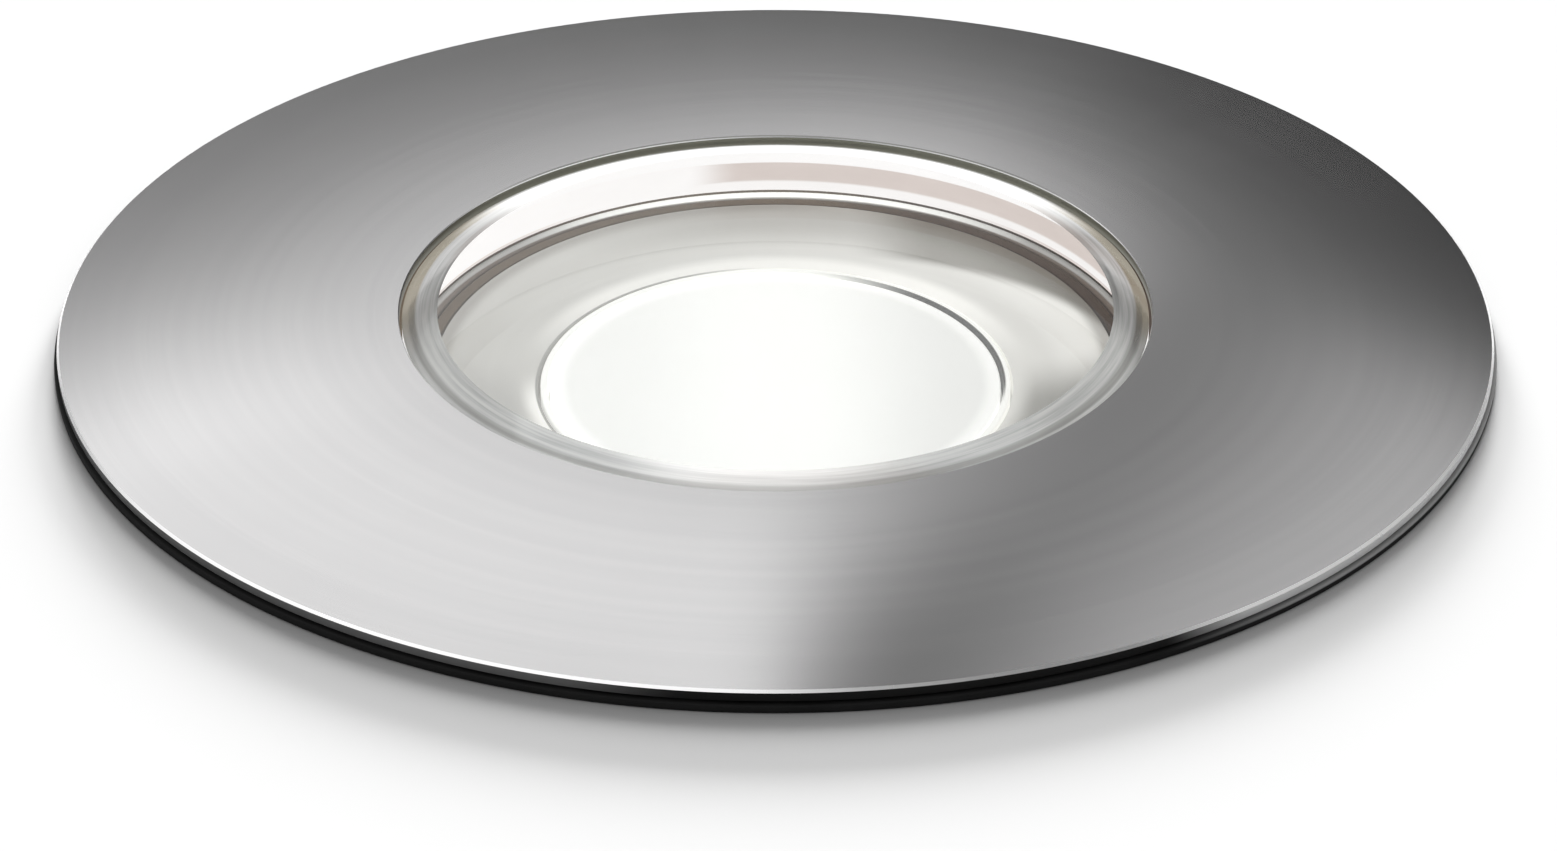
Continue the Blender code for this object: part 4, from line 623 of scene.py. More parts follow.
# Painted shade: a dark line in the crease between the bowl and the collar at the left, with no glow.
line = dish.ring(27.4, 27.2) * dish.side("X", 0, -12)
dish.paint_light_and_shade(line * 0.35, 0.12)
inside_lip = dish.ring(37.8, 36.6)
far_lip = dish.side("Y", 26, 33) * dish.ring(31, 36)
wash = vary(dish.side("X", -30, 34), 0.07, 0.24) * inside_lip * (1.0 - far_lip)
wash = dish.side("X", 15, 30) * dish.ring(31, 35) * inside_lip * 0.14 + wash
wash = wash * (1.0 - wedge) * (1.0 - near_right)
halo = dish.side("Y", 2, 22) * dish.ring(30.4, 28.4)
left_halo = dish.side("X", -18, -26) * dish.side("Y", 3, -6) * dish.ring(29.5, 27.2)
glow = (halo * 0.26 + (left_halo * 0.40 + wash)) * (1.0 - line)
dish.set(Emission_Color=two_tone(glow, 0.0, (1.0, 0.985, 0.96)))
# Painted shade: the hole's wall is the ring's steel with a dark olive colour for the shade in the gap.
grained("cut_steel_painted_shade", (0.13, 0.13, 0.105), (0.20, 0.20, 0.165), (0.35, 0.50), 3000.0, depth=0.1)
# Painted highlight: the bevelled edges get a paler colour and a glow at the near left and near right.
edge = grained("broken_edge_painted_highlight", 0.80, 0.90, (0.22, 0.34), 5000.0, depth=0.05, Emission_Strength=1.0)
painted_glint = edge.side("X", 34, 48) * 0.34 + edge.side("X", 10, -6) * 0.38
painted_glint = painted_glint * edge.ring(60, 70) * edge.side("Y", 15, 0)
edge.set(Emission_Color=two_tone(painted_glint, 0.0, 1.0))
outer = grained("sheared_steel_painted_reflection", 0.05, 0.20, (0.30, 0.42), 3000.0, depth=0.1)
# Painted reflection: the outer side is dark grey at the left, nearly black at the front and far left, light at
# the right.
tone = vary(outer.side("X", -22, -8), 0.20, 0.025) * vary(outer.side("X", -77, -68), 0.2, 1.0)
outer.set(Base_Color=two_tone(outer.side("X", 38, 48) * 0.85 + tone, 0.0, 1.0))
mottled("zinc", (0.52, 0.53, 0.55), (0.66, 0.66, 0.64), (0.28, 0.42), 220.0, 3000.0, 0.12, metallic=1.0)
mottled("spring_steel", (0.36, 0.36, 0.38), (0.50, 0.50, 0.51), (0.24, 0.36), 160.0, 4000.0, 0.08,
        metallic=1.0)
mottled("sink_aluminium", (0.58, 0.59, 0.60), 0.70, (0.34, 0.46), 90.0, 3500.0, 0.15, metallic=1.0)
print("Metals:", ", ".join(material.name for material in bpy.data.materials))

# %% [markdown]
# ## The casting, the rubbers and the plastics
# The housing is die cast and coated dark: a fine orange peel over faint patches, half metal and half paint.
# Its glass seat is machined bare again and shows a dull brown, painted dark as shade and darker still at the
# right. Rubber is matt and a little dusty, and the gasket under the ring has a painted sheen, a lighter upper
# half where it curves away at the right. The glass's silicone seal is grey white with painted brown shade
# inside, and a painted glow at its far side stands for the lens's light. The lens's collar has a painted glow
# all through, apart from a painted shadow line at the right. The sleeve's plastic has a coarser moulded grain.

# %% Casting, rubber and plastic
mottled("cast_housing", (0.085, 0.082, 0.078), (0.14, 0.135, 0.125), (0.45, 0.62), 70.0, 1800.0, 0.35,
        0.00010, metallic=0.5)
bare = grained("machined_seat", (0.105, 0.075, 0.045), (0.15, 0.11, 0.07), (0.55, 0.68), 2500.0,
               metallic=0.0, Specular_IOR_Level=0.1)
# Painted shade: the seat grows darker towards the right.
bare.paint_light_and_shade(vary(bare.side("X", 2, 20), 0.10, 0.85), (0.03, 0.012, 0.004))
RUBBER = 0.008, 0.015, (0.60, 0.80), 120.0, 3000.0, 0.35
mottled("black_rubber", *RUBBER, Specular_IOR_Level=0.2)
rim = mottled("rim_rubber", *RUBBER, Specular_IOR_Level=0.2)
# Painted sheen: a lighter band on the gasket's upper half at the near right.
rim.paint_light_and_shade(rim.side("X", 38, 56) * rim.side("Z", 147.48, 147.68) * rim.side("Y", 10, -10) * 0.8, 0.42)
seal = mottled("white_silicone", (0.45, 0.455, 0.45), (0.52, 0.52, 0.515), (0.45, 0.60), 120.0, 2500.0, 0.15,
               Emission_Strength=1.0)
# Painted shade makes the seal brown inside its outer band, and a painted glow lights that band at the far side.
unshaded_band = seal.ring(41.3, 41.7, (0.0, -0.0009))
seal.paint_light_and_shade(1.0 - unshaded_band, (0.12, 0.085, 0.06))
seal.set(Emission_Color=two_tone(seal.side("Y", 26, 42) * unshaded_band, 0.0, (0.80, 0.80, 0.77)))
mottled("black_plastic", (0.022, 0.022, 0.024), (0.038, 0.038, 0.040), (0.45, 0.65), 45.0, 1600.0, 0.45,
        0.00012)
collar = mottled("collar_painted_glow", (0.80, 0.80, 0.78), (0.88, 0.88, 0.86), (0.38, 0.50), 90.0, 2500.0, 0.1,
                 Emission_Strength=1.0)
# Painted shadow: a dark line on the collar's inner face at the right; the rest has a painted glow.
shadow_side = collar.ring(26.25, 26.05) * collar.side("X", 2, 18) * collar.side("Y", -6, 0)
collar.paint_light_and_shade(shadow_side * 0.9, 0.03)
collar.set(Emission_Color=two_tone(1.0 - shadow_side, 0.0, (0.36, 0.36, 0.35)))
mottled("white_plastic", (0.83, 0.83, 0.81), (0.90, 0.90, 0.88), (0.38, 0.50), 90.0, 2500.0, 0.1)

# %% [markdown]
# ## The glass
# Drive-over glass is a thick clear block with a wide ground bevel. It needs real depth, because it shifts and
# bends all that lies below it. So the block is solid, it bends light like soda glass, and shadow rays pass
# partly through, which lets the lamps reach what lies below. A bare block mirrors the tent too strongly for
# the dark seat below it, so its specular tint is a quarter.
#
# Its side sits in the seal and fills with the lens's light. It shows as two flat bands, white above and pinkish
# below at the right, with a white strip at its foot. Mirroring would break those bands up, so the side is an
# opaque surface with painted light: a glow written in heights and sides, weaker low at its far side.
#
# The bevel is ground, so it has fine streaks round the axis, and it is rougher than the top. Painted shade makes
# it brownish grey at the left and right, a painted glow lights its far side and front, and a thin painted shadow
# line runs round its near side.

# %% Glass
SODA_GLASS, SHADOW_TINT = 1.52, (0.40, 0.41, 0.40)


def show_mix(tree, share, first, second):
    """Shows a first shader where the share is 0 and a second where it is 1."""
    mix = tree.nodes.new("ShaderNodeMixShader")
    for socket, value in zip(mix.inputs, (share, first, second)):
        put(socket, value)
    put(tree.nodes["Material Output"].inputs["Surface"], Value(mix.outputs[0]))


def let_shadow_rays_through(finish):
    tree = finish.tree
    through = add(tree, "ShaderNodeBsdfTransparent", Color=SHADOW_TINT)
    shadow_ray = add(tree, "ShaderNodeLightPath")["Is Shadow Ray"]
    show_mix(tree, shadow_ray, Value(finish.shader.outputs[0]), through)


clear = Finish("clear_glass", (0.985, 0.995, 0.985), 0.0, IOR=SODA_GLASS, Transmission_Weight=1.0,
               Specular_Tint=0.25)
clear.set(Roughness=clear.group(mottle, Patch_scale=25.0, Grit_scale=900.0)["Patches"] * 0.004)
let_shadow_rays_through(clear)

glass_side_paint = Finish("glass_side_painted_glow", (0.10, 0.09, 0.09), 0.5, Emission_Strength=1.0, Specular_IOR_Level=0.1)
cloud = glass_side_paint.group(mottle, Patch_scale=150.0, Grit_scale=2500.0)
glass_side_paint.set(Base_Color=two_tone(cloud["Patches"], (0.08, 0.07, 0.07), (0.12, 0.11, 0.11)))
# Painted reflection of the lens's light: a white upper band, a white foot strip and a white left side, pinkish
# between.
upper_band = glass_side_paint.side("Z", 139.8, 140.2)
foot_strip = glass_side_paint.side("Z", 133.8, 132.8) * 0.85
plain_left = glass_side_paint.side("X", -4, -11) * 0.93
painted_glow = maths("MAXIMUM", maths("MAXIMUM", upper_band, foot_strip), plain_left)
# Less painted glow low at the far side.
painted_glow = glass_side_paint.side("Z", 131.0, 130.6) * glass_side_paint.side("Y", 39, 26) * -0.65 + painted_glow
glass_side_paint.set(Emission_Color=two_tone(painted_glow, (0.64, 0.565, 0.53), (0.96, 0.95, 0.945)))

bevel = Finish("ground_bevel", (0.84, 0.85, 0.81), 0.15, IOR=SODA_GLASS, Transmission_Weight=0.5,
               Emission_Strength=1.0)
grain = bevel.group(turned_grain, Lines_per_metre=2200.0, Breaks=1.5)
streaks = add(bevel.tree, "ShaderNodeMapRange", Value=grain["Grain"], From_Min=0.36, From_Max=0.64)
bevel.set(Base_Color=two_tone(streaks, (0.38, 0.39, 0.39), (0.68, 0.69, 0.68)),
          Roughness=vary(grain["Grain"], 0.08, 0.26))
# Painted shade: the bevel's outer edge is brownish at the left and right.
beside = bevel.side("Y", -12, -2) * bevel.side("Y", 29, 20)
bevel.paint_light_and_shade(bevel.ring(40.3, 40.7) * beside, (0.32, 0.285, 0.21))
# Painted shade: its inner edge is greyer a little behind the left and right.
bevel.paint_light_and_shade(bevel.ring(39.0, 38.6) * bevel.side("Y", 26, 18) * bevel.side("Y", 6, 14) * 0.7,
            (0.36, 0.33, 0.31))
# Painted shadow: a thin dark line round the near side.
painted_shadow_line = bevel.ring(40.1, 40.6) * bevel.ring(41.3, 41.0) * bevel.side("Y", 4, -6)
bevel.paint_light_and_shade(painted_shadow_line * 0.65, (0.12, 0.12, 0.11))
# Painted glow: the lens's light at the front of the bevel and along its far edge.
front = bevel.side("Y", -20, -36) * bevel.side("X", -22, -6) * bevel.side("X", 18, 2)
front = front * (1.45 - bevel.ring(37.5, 41.6)) * 0.32
behind = bevel.side("Y", 15, 30) * bevel.ring(41.9, 41.1) * 0.78
bevel.set(Emission_Color=two_tone(front + behind, 0.0, (1.0, 1.0, 0.99)))
let_shadow_rays_through(bevel)

# %% [markdown]
# ## The glowing lens
# The lamp is on in the photograph. The opal lens glows almost evenly: a little more near its middle and at its
# edge, where the cup behind it throws more light, and a little less at the right. The glow is the lens's own
# emission, so no lamp has to be hidden behind it.

# %% Opal lens
opal = Finish("opal", (0.60, 0.60, 0.59), 0.35, Emission_Strength=1.0)
spots = opal.group(mottle, Patch_scale=80.0, Grit_scale=1500.0)
middle = opal.side("X", -20, -3) - opal.side("X", 3, 20)
glow = opal.side("X", 4, 22) * -0.06 + maths("MULTIPLY_ADD", middle, 0.09, 0.43)
glow = opal.ring(23.2, 25.0) * 0.16 + glow
opal.set(Emission_Color=two_tone(glow, 0.0, (1.0, 1.0, 0.99)), Roughness=vary(spots["Patches"], 0.30, 0.40))
opal.bump(spots["Grit"], 0.1, 0.00005)

# %% [markdown]
# ## What stays hidden
# The driver, the terminals, the leads and the lamp's board keep their CAD shapes, because nothing shows them
# while the light is whole. They still get a finish each, for whoever takes the model apart.

# %% Finishes of the hidden parts
for name, dark, light, rough, patches, grit, depth in (
        ("thermal_pad", (0.38, 0.39, 0.41), (0.50, 0.51, 0.53), (0.70, 0.85), 150.0, 3000.0, 0.2),
        ("driver_case", (0.76, 0.76, 0.74), (0.86, 0.86, 0.84), (0.45, 0.60), 60.0, 2000.0, 0.2),
        ("terminal_green", (0.07, 0.28, 0.12), (0.12, 0.38, 0.18), (0.40, 0.55), 90.0, 2500.0, 0.1),
        ("lead_red", (0.46, 0.02, 0.015), (0.60, 0.04, 0.03), (0.40, 0.55), 150.0, 3000.0, 0.1),
        ("lead_black", 0.02, 0.04, (0.40, 0.55), 150.0, 3000.0, 0.1),
        ("led_yellow", (0.80, 0.58, 0.08), (0.90, 0.72, 0.18), (0.30, 0.45), 400.0, 4000.0, 0.1),
        ("board_white", (0.76, 0.78, 0.76), (0.84, 0.86, 0.84), (0.35, 0.48), 90.0, 2500.0, 0.1)):
    mottled(name, dark, light, rough, patches, grit, depth)
for part in frame["record"]["subparts"]:
    dress(frame["nodes"][part["node"]], part["material_slot"])
print(len(bpy.data.materials), "finishes,", len(frame["nodes"]), "nodes dressed")

# %% [markdown]
# ## Cover ring, rubber gasket and glass
# The ring is a flat washer, a little over a millimetre thick, with a small bevel on both edges that carries the
# bright line round it, a painted highlight. The gasket shows only as a black band under it; its lip reaches down
# to the ground just outside the sleeve. The glass is flush with the steel, and its bevel falls away over the
# last four millimetres.

# %% Ring, gasket and glass
EDGE, HOLE_EDGE = 0.00026, 0.00010
GASKET_WIDTH, LIP_RADIUS = 0.0123, 0.0783
BEVEL_WIDTH, BEVEL_DROP = 0.0040, 0.0009
cover_ring = dress(turned("cover_ring_brushed", [
    (ring_radius - EDGE, ring_top), (ring_radius, ring_top - EDGE), (ring_radius, ring_base),
    (ring_hole, ring_base), (ring_hole, ring_top - HOLE_EDGE), (ring_hole + HOLE_EDGE, ring_top)], 256),
    "brushed_steel", "cut_steel_painted_shade", "sheared_steel_painted_reflection", "broken_edge_painted_highlight")
# The hole's wall gets painted shade, the outer side a painted reflection and the bevelled edges a painted
# highlight.
for face in cover_ring.data.polygons:
    if abs(face.normal.z) < 0.5:
        face.material_index = 1 if face.center.xy.length < 0.5 * (ring_radius + ring_hole) else 2
    elif 0 < face.normal.z < 0.9:
        face.material_index = 3
seat(cover_ring, "brushed_steel", "cover_ring")

gasket_outer = ring_radius + 0.0004
gasket_inner = gasket_outer - GASKET_WIDTH
rim_gasket = turned("rim_gasket_rubber", [
    (gasket_outer, gasket_top), (gasket_outer, ground), (LIP_RADIUS, ground), (LIP_RADIUS, ground + GAP),
    (gasket_inner, ground + GAP), (gasket_inner, gasket_top)], 256, soft=0.00025)
seat(dress(rim_gasket, "rim_rubber"), "black_rubber", "rim_gasket")

glass = dress(turned("glass_block", [
    (0, ring_top), (glass_radius - BEVEL_WIDTH, ring_top), (glass_radius, ring_top - BEVEL_DROP),
    (glass_radius, glass_base), (0, glass_base)], 256), "clear_glass", "ground_bevel", "glass_side_painted_glow")
glass.data.set_sharp_from_angle(angle=radians(5))
for face in glass.data.polygons:
    if abs(face.normal.z) < 0.99:
        face.material_index = 1 if face.normal.z > 0.5 else 2
seat(glass, "clear_glass", "glass")

# %% [markdown]
# ## Seals of the glass
# The white seat gasket is the thin bright line under the glass's edge. The black seal round its side keeps the
# water out. Both are plain rings with rounded corners, so the ring tree makes them.

# %% Seals
seat_ring("glass_seat_silicone", "white_silicone", "glass_seat_gasket", 0.0405, 0.0421, 0.0002)
seat_ring("glass_edge_rubber", "black_rubber", "glass_edge_seal", 0.04225, 0.04345, 0.0004)

# %% [markdown]
# ## Dish, lens and collar
# The dish is spun from thin sheet: a flat lip, a bowl that falls ever more gently, and a short collar. Its
# curve is a quarter of a sine wave, drawn with many more points than the CAD model needs, so that its shine
# has no facets.

# %% Lamp
LIP_WIDTH, DISH_INNER, SHEET = 0.0009, 0.0270, 0.0010
dish_low, dish_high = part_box("reflector_dish")
lens_low, lens_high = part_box("opal_lens")
lip_edge = dish_high.x - LIP_WIDTH
bowl = [(lip_edge + (DISH_INNER - lip_edge) * step / 24,
         dish_high.z - (dish_high.z - lens_high.z) * sin(step / 24 * pi / 2)) for step in range(25)]
under = [(radius, height - SHEET) for radius, height in reversed(bowl[:-1])]
collar_wall = [(DISH_INNER, dish_low.z), (DISH_INNER + SHEET, dish_low.z),
               (DISH_INNER + SHEET, lens_high.z - SHEET)]
dish = turned("reflector_dish_spun", [(dish_high.x, dish_high.z)] + bowl + collar_wall + under
              + [(dish_high.x, dish_high.z - SHEET)])
seat(dress(dish, "satin_aluminium"), "satin_aluminium", "reflector_dish")
lens = turned("opal_lens_lit", [
    (0, lens_high.z), (lens_high.x, lens_high.z), (lens_high.x, lens_low.z), (0, lens_low.z)],
    160, soft=0.0003, sharp=(0, 3))
seat(dress(lens, "opal"), "opal", "opal_lens")
seat_ring("lens_collar_white", "collar_painted_glow", "lens_collar", 0.0259, 0.0267, 0.0002, "white_plastic")

# %% [markdown]
# ## Housing
# The housing is one casting, but two finishes meet on it: the coated outside, and the machined seat and pocket
# that the glass sees. It is made as two closed pieces that meet on a cylinder inside the wall, so each can
# have its own material. Bosses for the cap's screws and flat pads for the clips are cast on, and holes are
# drilled last.

# %% Housing
FLANGE_RADIUS, FLANGE_BASE = 0.0620, 0.1443
BORE, GROOVE, GROOVE_LOW, GROOVE_HIGH = 0.0436, 0.0446, 0.0986, 0.1004
SINK_BORE, SINK_STEP = 0.0415, 0.1057
SPLIT, SPLIT_GAP = 0.0445, 0.00001
POCKET, SEAL_POCKET, SEAL_LOW, SEAL_HIGH = 0.0424, 0.04375, 0.1345, 0.1380
LEDGE, LEDGE_TOP, LEDGE_BASE = 0.0389, 0.12955, 0.1234
SEAT_EDGE, SEAT_FLOOR = 0.0402, 0.12845
BOSS, BOSS_TOP, SCREW_HOLE, PIN_HOLE = 0.0045, 0.0729, 0.0023, 0.0018
PAD_LOW, PAD_HIGH, CLIP_ANGLE = 0.1189, 0.1389, 60
PAST = 0.002
flange_low, flange_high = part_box("housing")
flange_top, foot = flange_high.z, flange_low.z
cap_spots = spots_round(4, CAP_SCREW_CIRCLE, 45)
shell = turned("housing_cast", [
    (FLANGE_RADIUS, flange_top), (FLANGE_RADIUS, FLANGE_BASE), (HOUSING_RADIUS, FLANGE_BASE),
    (HOUSING_RADIUS, foot), (BORE, foot), (BORE, GROOVE_LOW), (GROOVE, GROOVE_LOW), (GROOVE, GROOVE_HIGH),
    (BORE, GROOVE_HIGH), (BORE, SINK_STEP), (SINK_BORE, SINK_STEP), (SINK_BORE, LEDGE_BASE - 0.001),
    (SPLIT, LEDGE_BASE - 0.001), (SPLIT, flange_top)], 160, soft=0.0004)
for spot in cap_spots:
    join(shell, rod("boss", BOSS, foot, BOSS_TOP, 40, spot, edge=0.0004))
for index in range(3):
    pad = block("pad", (HOUSING_RADIUS - 0.0021, -PAD_HALF, PAD_LOW), (PAD_FACE, PAD_HALF, PAD_HIGH))
    join(shell, placed(pad, turn=radians(CLIP_ANGLE + 120 * index)))
for spot in cap_spots:
    cut(shell, rod("hole", SCREW_HOLE, foot - PAST, foot + 0.012, 32, spot))
for index, spot in enumerate(spots_round(3, STUD_CIRCLE, 0)):
    cut(shell, rod("hole", SCREW_HOLE, FLANGE_BASE - PAST, flange_top + PAST, 32, spot))
    cut(shell, rod("counterbore", 0.0038, flange_top - 0.0013, flange_top + PAST, 32, spot))
    drill = rod("hole", PIN_HOLE, PAD_FACE - 0.003, PAD_FACE + PAST, 24, along="X")
    cut(shell, placed(drill, (0, 0, PAD_SCREW_HEIGHT), radians(CLIP_ANGLE + 120 * index)))
seat(dress(shell, "cast_housing"), "cast_housing", "housing")

ledge = turned("housing_glass_seat", [
    (SPLIT - SPLIT_GAP, flange_top), (SPLIT - SPLIT_GAP, LEDGE_BASE), (LEDGE, LEDGE_BASE),
    (LEDGE, LEDGE_TOP), (SEAT_EDGE, LEDGE_TOP), (SEAT_EDGE, SEAT_FLOOR), (POCKET, SEAT_FLOOR),
    (POCKET, SEAL_LOW), (SEAL_POCKET, SEAL_LOW), (SEAL_POCKET, SEAL_HIGH), (POCKET, SEAL_HIGH),
    (POCKET, flange_top)], soft=0.0001)
seat(dress(ledge, "machined_seat"), "cast_housing", "housing")

# %% [markdown]
# ## Socket screws, studs and nuts
# Each fastener is made once, standing on the height zero, and the round-the-axis tree sets the rest. A socket
# screw is a turned head and shank with a hexagonal socket cut in. A nut is a hexagon whose corners are turned
# off, which is a prism kept only where it lies inside a blunt double cone.

# %% Fasteners
def socket_screw(radius, length):
    head, top = 1.7 * radius, 1.35 * radius
    screw = turned("screw", [(0, top), (head, top), (head, 0), (radius, 0), (radius, -length), (0, -length)],
                   40, 0.12 * radius, 2, (0, 3, 5))
    cut(screw, rod("socket", 0.85 * radius, top - 0.75 * radius, top + radius, 6))
    return screw


def turned_hexagon(name, corner, low, high, rise, shoulder, widest, middle, steps):
    """A hexagonal bar kept inside a blunt double cone that is widest at the middle height."""
    bar = rod(name, corner, low, high, 6)
    combine(bar, turned("cone", [(0, high + rise), (shoulder, high), (widest, middle), (shoulder, low),
                                 (0, low - rise)], steps), "INTERSECT")
    return bar


cap_screw = socket_screw(0.0020, 0.0130)
cap_screw.data.transform(Matrix.Rotation(pi, 4, "X"))
seat_round("cap_screws", cap_screw, "bright_steel", "cap_screw", 4, radius=CAP_SCREW_CIRCLE,
           height=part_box("base_cap")[0].z - GAP, start=radians(45))

low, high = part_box("ring_stud_1")
stud = turned("stud", [(0, high.z), (0.0035, high.z), (0.0035, high.z - 0.001), (0.0020, high.z - 0.001),
                       (0.0020, low.z), (0, low.z)], 40, 0.0002, 2, (0, 3, 5))
seat_round("ring_studs", stud, "bright_steel", "ring_stud", 3, radius=STUD_CIRCLE)
NUT = 0.0040
low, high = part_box("ring_nut_1")
nut = turned_hexagon("nut", NUT, low.z, high.z, 0.12 * NUT, 0.86 * NUT, 1.12 * NUT, (low.z + high.z) / 2, 48)
cut(nut, rod("bore", SCREW_HOLE, low.z - PAST, high.z + PAST, 40))
seat_round("ring_nuts", nut, "zinc", "ring_nut", 3, radius=STUD_CIRCLE)

# %% [markdown]
# ## Base cap, cable gland and vent
# The cap closes the housing from below, with an ear at each boss and a spigot that carries an o-ring. The
# gland is a hexagon body and a dome nut, both turned from hexagon bar, with a rubber seal between them. These
# two name a slot but have no material yet, so they show plain grey. A small plastic plug lets the housing
# breathe.

# %% Cap
SPIGOT, O_RING_GROOVE, GROOVE_FOOT, GROOVE_TOP = 0.0433, 0.0413, 0.05765, 0.05985
GLAND_HOLE = 0.0083
cap_low, cap_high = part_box("base_cap")
plate = cap_low.z + 0.0040
cap = turned("base_cap_cast", [
    (0, plate), (0.0399, plate), (0.0399, cap_high.z), (SPIGOT, cap_high.z), (SPIGOT, GROOVE_TOP),
    (O_RING_GROOVE, GROOVE_TOP), (O_RING_GROOVE, GROOVE_FOOT), (SPIGOT, GROOVE_FOOT), (SPIGOT, plate),
    (HOUSING_RADIUS, plate), (HOUSING_RADIUS, cap_low.z), (0, cap_low.z)],
    144, soft=0.0004, sharp=(0, 4, 5, 6, 7, 8, 11))
for spot in cap_spots:
    join(cap, rod("ear", BOSS, cap_low.z, plate, 40, spot, edge=0.0004))
    cut(cap, rod("hole", SCREW_HOLE, cap_low.z - PAST, plate + PAST, 32, spot))
gland_low, gland_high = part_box("gland_nut")
gland_spot = ((gland_low.x + gland_high.x) / 2, (gland_low.y + gland_high.y) / 2, 0)
vent_low, vent_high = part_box("vent_plug")
vent_spot = (0, (vent_low.y + vent_high.y) / 2, 0)
cut(cap, rod("gland hole", GLAND_HOLE, cap_low.z - PAST, plate + PAST, 64, gland_spot[:2]))
cut(cap, rod("vent hole", 0.0043, cap_low.z - PAST, plate + PAST, 40, vent_spot[:2]))
for side in (-1, 1):
    cut(cap, rod("driver screw hole", 0.0018, plate - 0.0023, plate + PAST, 24, (side * 0.0300, 0.0145)))
seat(dress(cap, "cast_housing"), "cast_housing", "base_cap")
o_ring_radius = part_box("cap_o_ring")[1].x
seat_ring("cap_o_ring_rubber", "black_rubber", "cap_o_ring", o_ring_radius - 0.0016, o_ring_radius, 0.0008,
          edge_steps=8)

# %% Gland
HEX_CORNER, HEX_RISE, HEX_SHOULDER, HEX_WIDEST = 0.0115, 0.0008, 0.0101, 0.0126
THREAD, THREAD_PITCH, THREAD_TURNS = 0.0080, 0.0005, 19
MOUTH, BARREL_BORE, CABLE_BORE, CABLE_STEP = 0.0046, 0.0063, 0.0047, 0.0165
low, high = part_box("gland_body")
hex_base, hex_top = low.z + 0.0100, low.z + 0.0150
body = turned_hexagon("gland_body_turned", HEX_CORNER, hex_base, hex_top, HEX_RISE, HEX_SHOULDER, HEX_WIDEST,
                      (hex_base + hex_top) / 2, 64)
threads = [(THREAD - (THREAD_PITCH if turn % 2 else 0.0), low.z + GAP + THREAD_PITCH * turn)
           for turn in range(THREAD_TURNS)]
barrel = turned("barrel", [(BARREL_BORE, low.z)] + threads + [
    (THREAD, hex_base), (THREAD, high.z), (CABLE_BORE, high.z), (CABLE_BORE, high.z - CABLE_STEP),
    (BARREL_BORE, high.z - CABLE_STEP)], 64)
cut(body, rod("bore", BARREL_BORE + 0.0001, low.z, high.z, 64))
join(body, barrel)
seat(placed(body, gland_spot), "bright_steel", "gland_body")
low, high = gland_low, gland_high
nut = turned_hexagon("gland_dome_nut", HEX_CORNER, low.z + 0.0040, high.z, HEX_RISE, HEX_SHOULDER, HEX_WIDEST,
                     (low.z + high.z) / 2, 64)
cut(nut, rod("bore", GLAND_HOLE, low.z, high.z + 0.001, 64))
dome = [(MOUTH + 0.0050 * sin(step / 10 * pi / 2), low.z + 0.0050 * (1 - cos(step / 10 * pi / 2)))
        for step in range(11)]
join(nut, turned("dome", dome + [(0.0084, low.z + 0.0050), (MOUTH, low.z + 0.0012)], 64))
seat(placed(nut, gland_spot), "bright_steel", "gland_nut")
seat_ring("gland_seal_rubber", "black_rubber", "gland_seal", 0.0042, 0.0060, 0.0004, spot=gland_spot, steps=64)
seat_ring("gland_washer_rubber", "black_rubber", "gland_washer", 0.0083, 0.0108, 0.0003, spot=gland_spot,
          steps=64)

# %% Vent
VENT_STEM, VENT_HEAD, HEAD_HEIGHT = 0.0040, 0.0068, 0.0030
vent = turned("vent_plug_moulded", [
    (0, vent_high.z), (VENT_STEM, vent_high.z), (VENT_STEM, vent_low.z + HEAD_HEIGHT),
    (VENT_HEAD, vent_low.z + HEAD_HEIGHT), (VENT_HEAD, vent_low.z), (0, vent_low.z)],
    64, soft=0.0004, sharp=(0, 2, 5))
for index in range(4):
    slot = block("slot", (0.0058, -0.0006, vent_low.z - 0.001), (0.0078, 0.0006, vent_low.z + 0.0027))
    cut(vent, placed(slot, turn=radians(90 * index)))
seat(placed(dress(vent, "black_plastic"), vent_spot), "black_plastic", "vent_plug")

# %% [markdown]
# ## Spring clips
# Each clip is a bent bracket on a flat pad, a pin through its two ears, an arm that hangs from the pin and a
# coiled spring that pushes the arm out against the sleeve. The fixed pieces are made once along +X and set
# three times round the axis. Each arm rides on its own body, so the tree sets it once, at its own angle, with
# a count of one.

# %% Bracket, pin and screw
HALF, SHEET, EAR_REACH, NOSE = PAD_HALF, 0.0015, 0.0035, 0.0030
BRACKET_RISE, BRACKET_DROP, EAR_DROP = 0.0040, 0.0160, 0.0050
PIN, PIN_HEAD, HEAD_THICKNESS = 0.0015, 0.0024, 0.0010
clip_start = radians(CLIP_ANGLE)
on_pin = (PIN_REACH, 0, PIN_HEIGHT)
back, ears = PAD_FACE + GAP, PIN_REACH + EAR_REACH
front = back + SHEET
bracket = prism("bracket", soft_corners([
    (back, -HALF), (ears, -HALF), (ears, SHEET - HALF), (front, SHEET - HALF), (front, HALF - SHEET),
    (ears, HALF - SHEET), (ears, HALF), (back, HALF)], 0.0012, 4, sharp=(1, 2, 5, 6)),
    PIN_HEIGHT - BRACKET_DROP, PIN_HEIGHT + BRACKET_RISE)
cut(bracket, block("trim", (front, -HALF - PAST, PIN_HEIGHT - BRACKET_DROP - PAST),
                   (ears + PAST, HALF + PAST, PIN_HEIGHT - EAR_DROP)))
for corner, down in ((PIN_HEIGHT + BRACKET_RISE, NOSE), (PIN_HEIGHT - EAR_DROP, -NOSE)):
    cut(bracket, prism("nose", [(ears, corner), (ears - NOSE, corner), (ears, corner - down)],
                       -HALF - PAST, HALF + PAST, along="Y"))
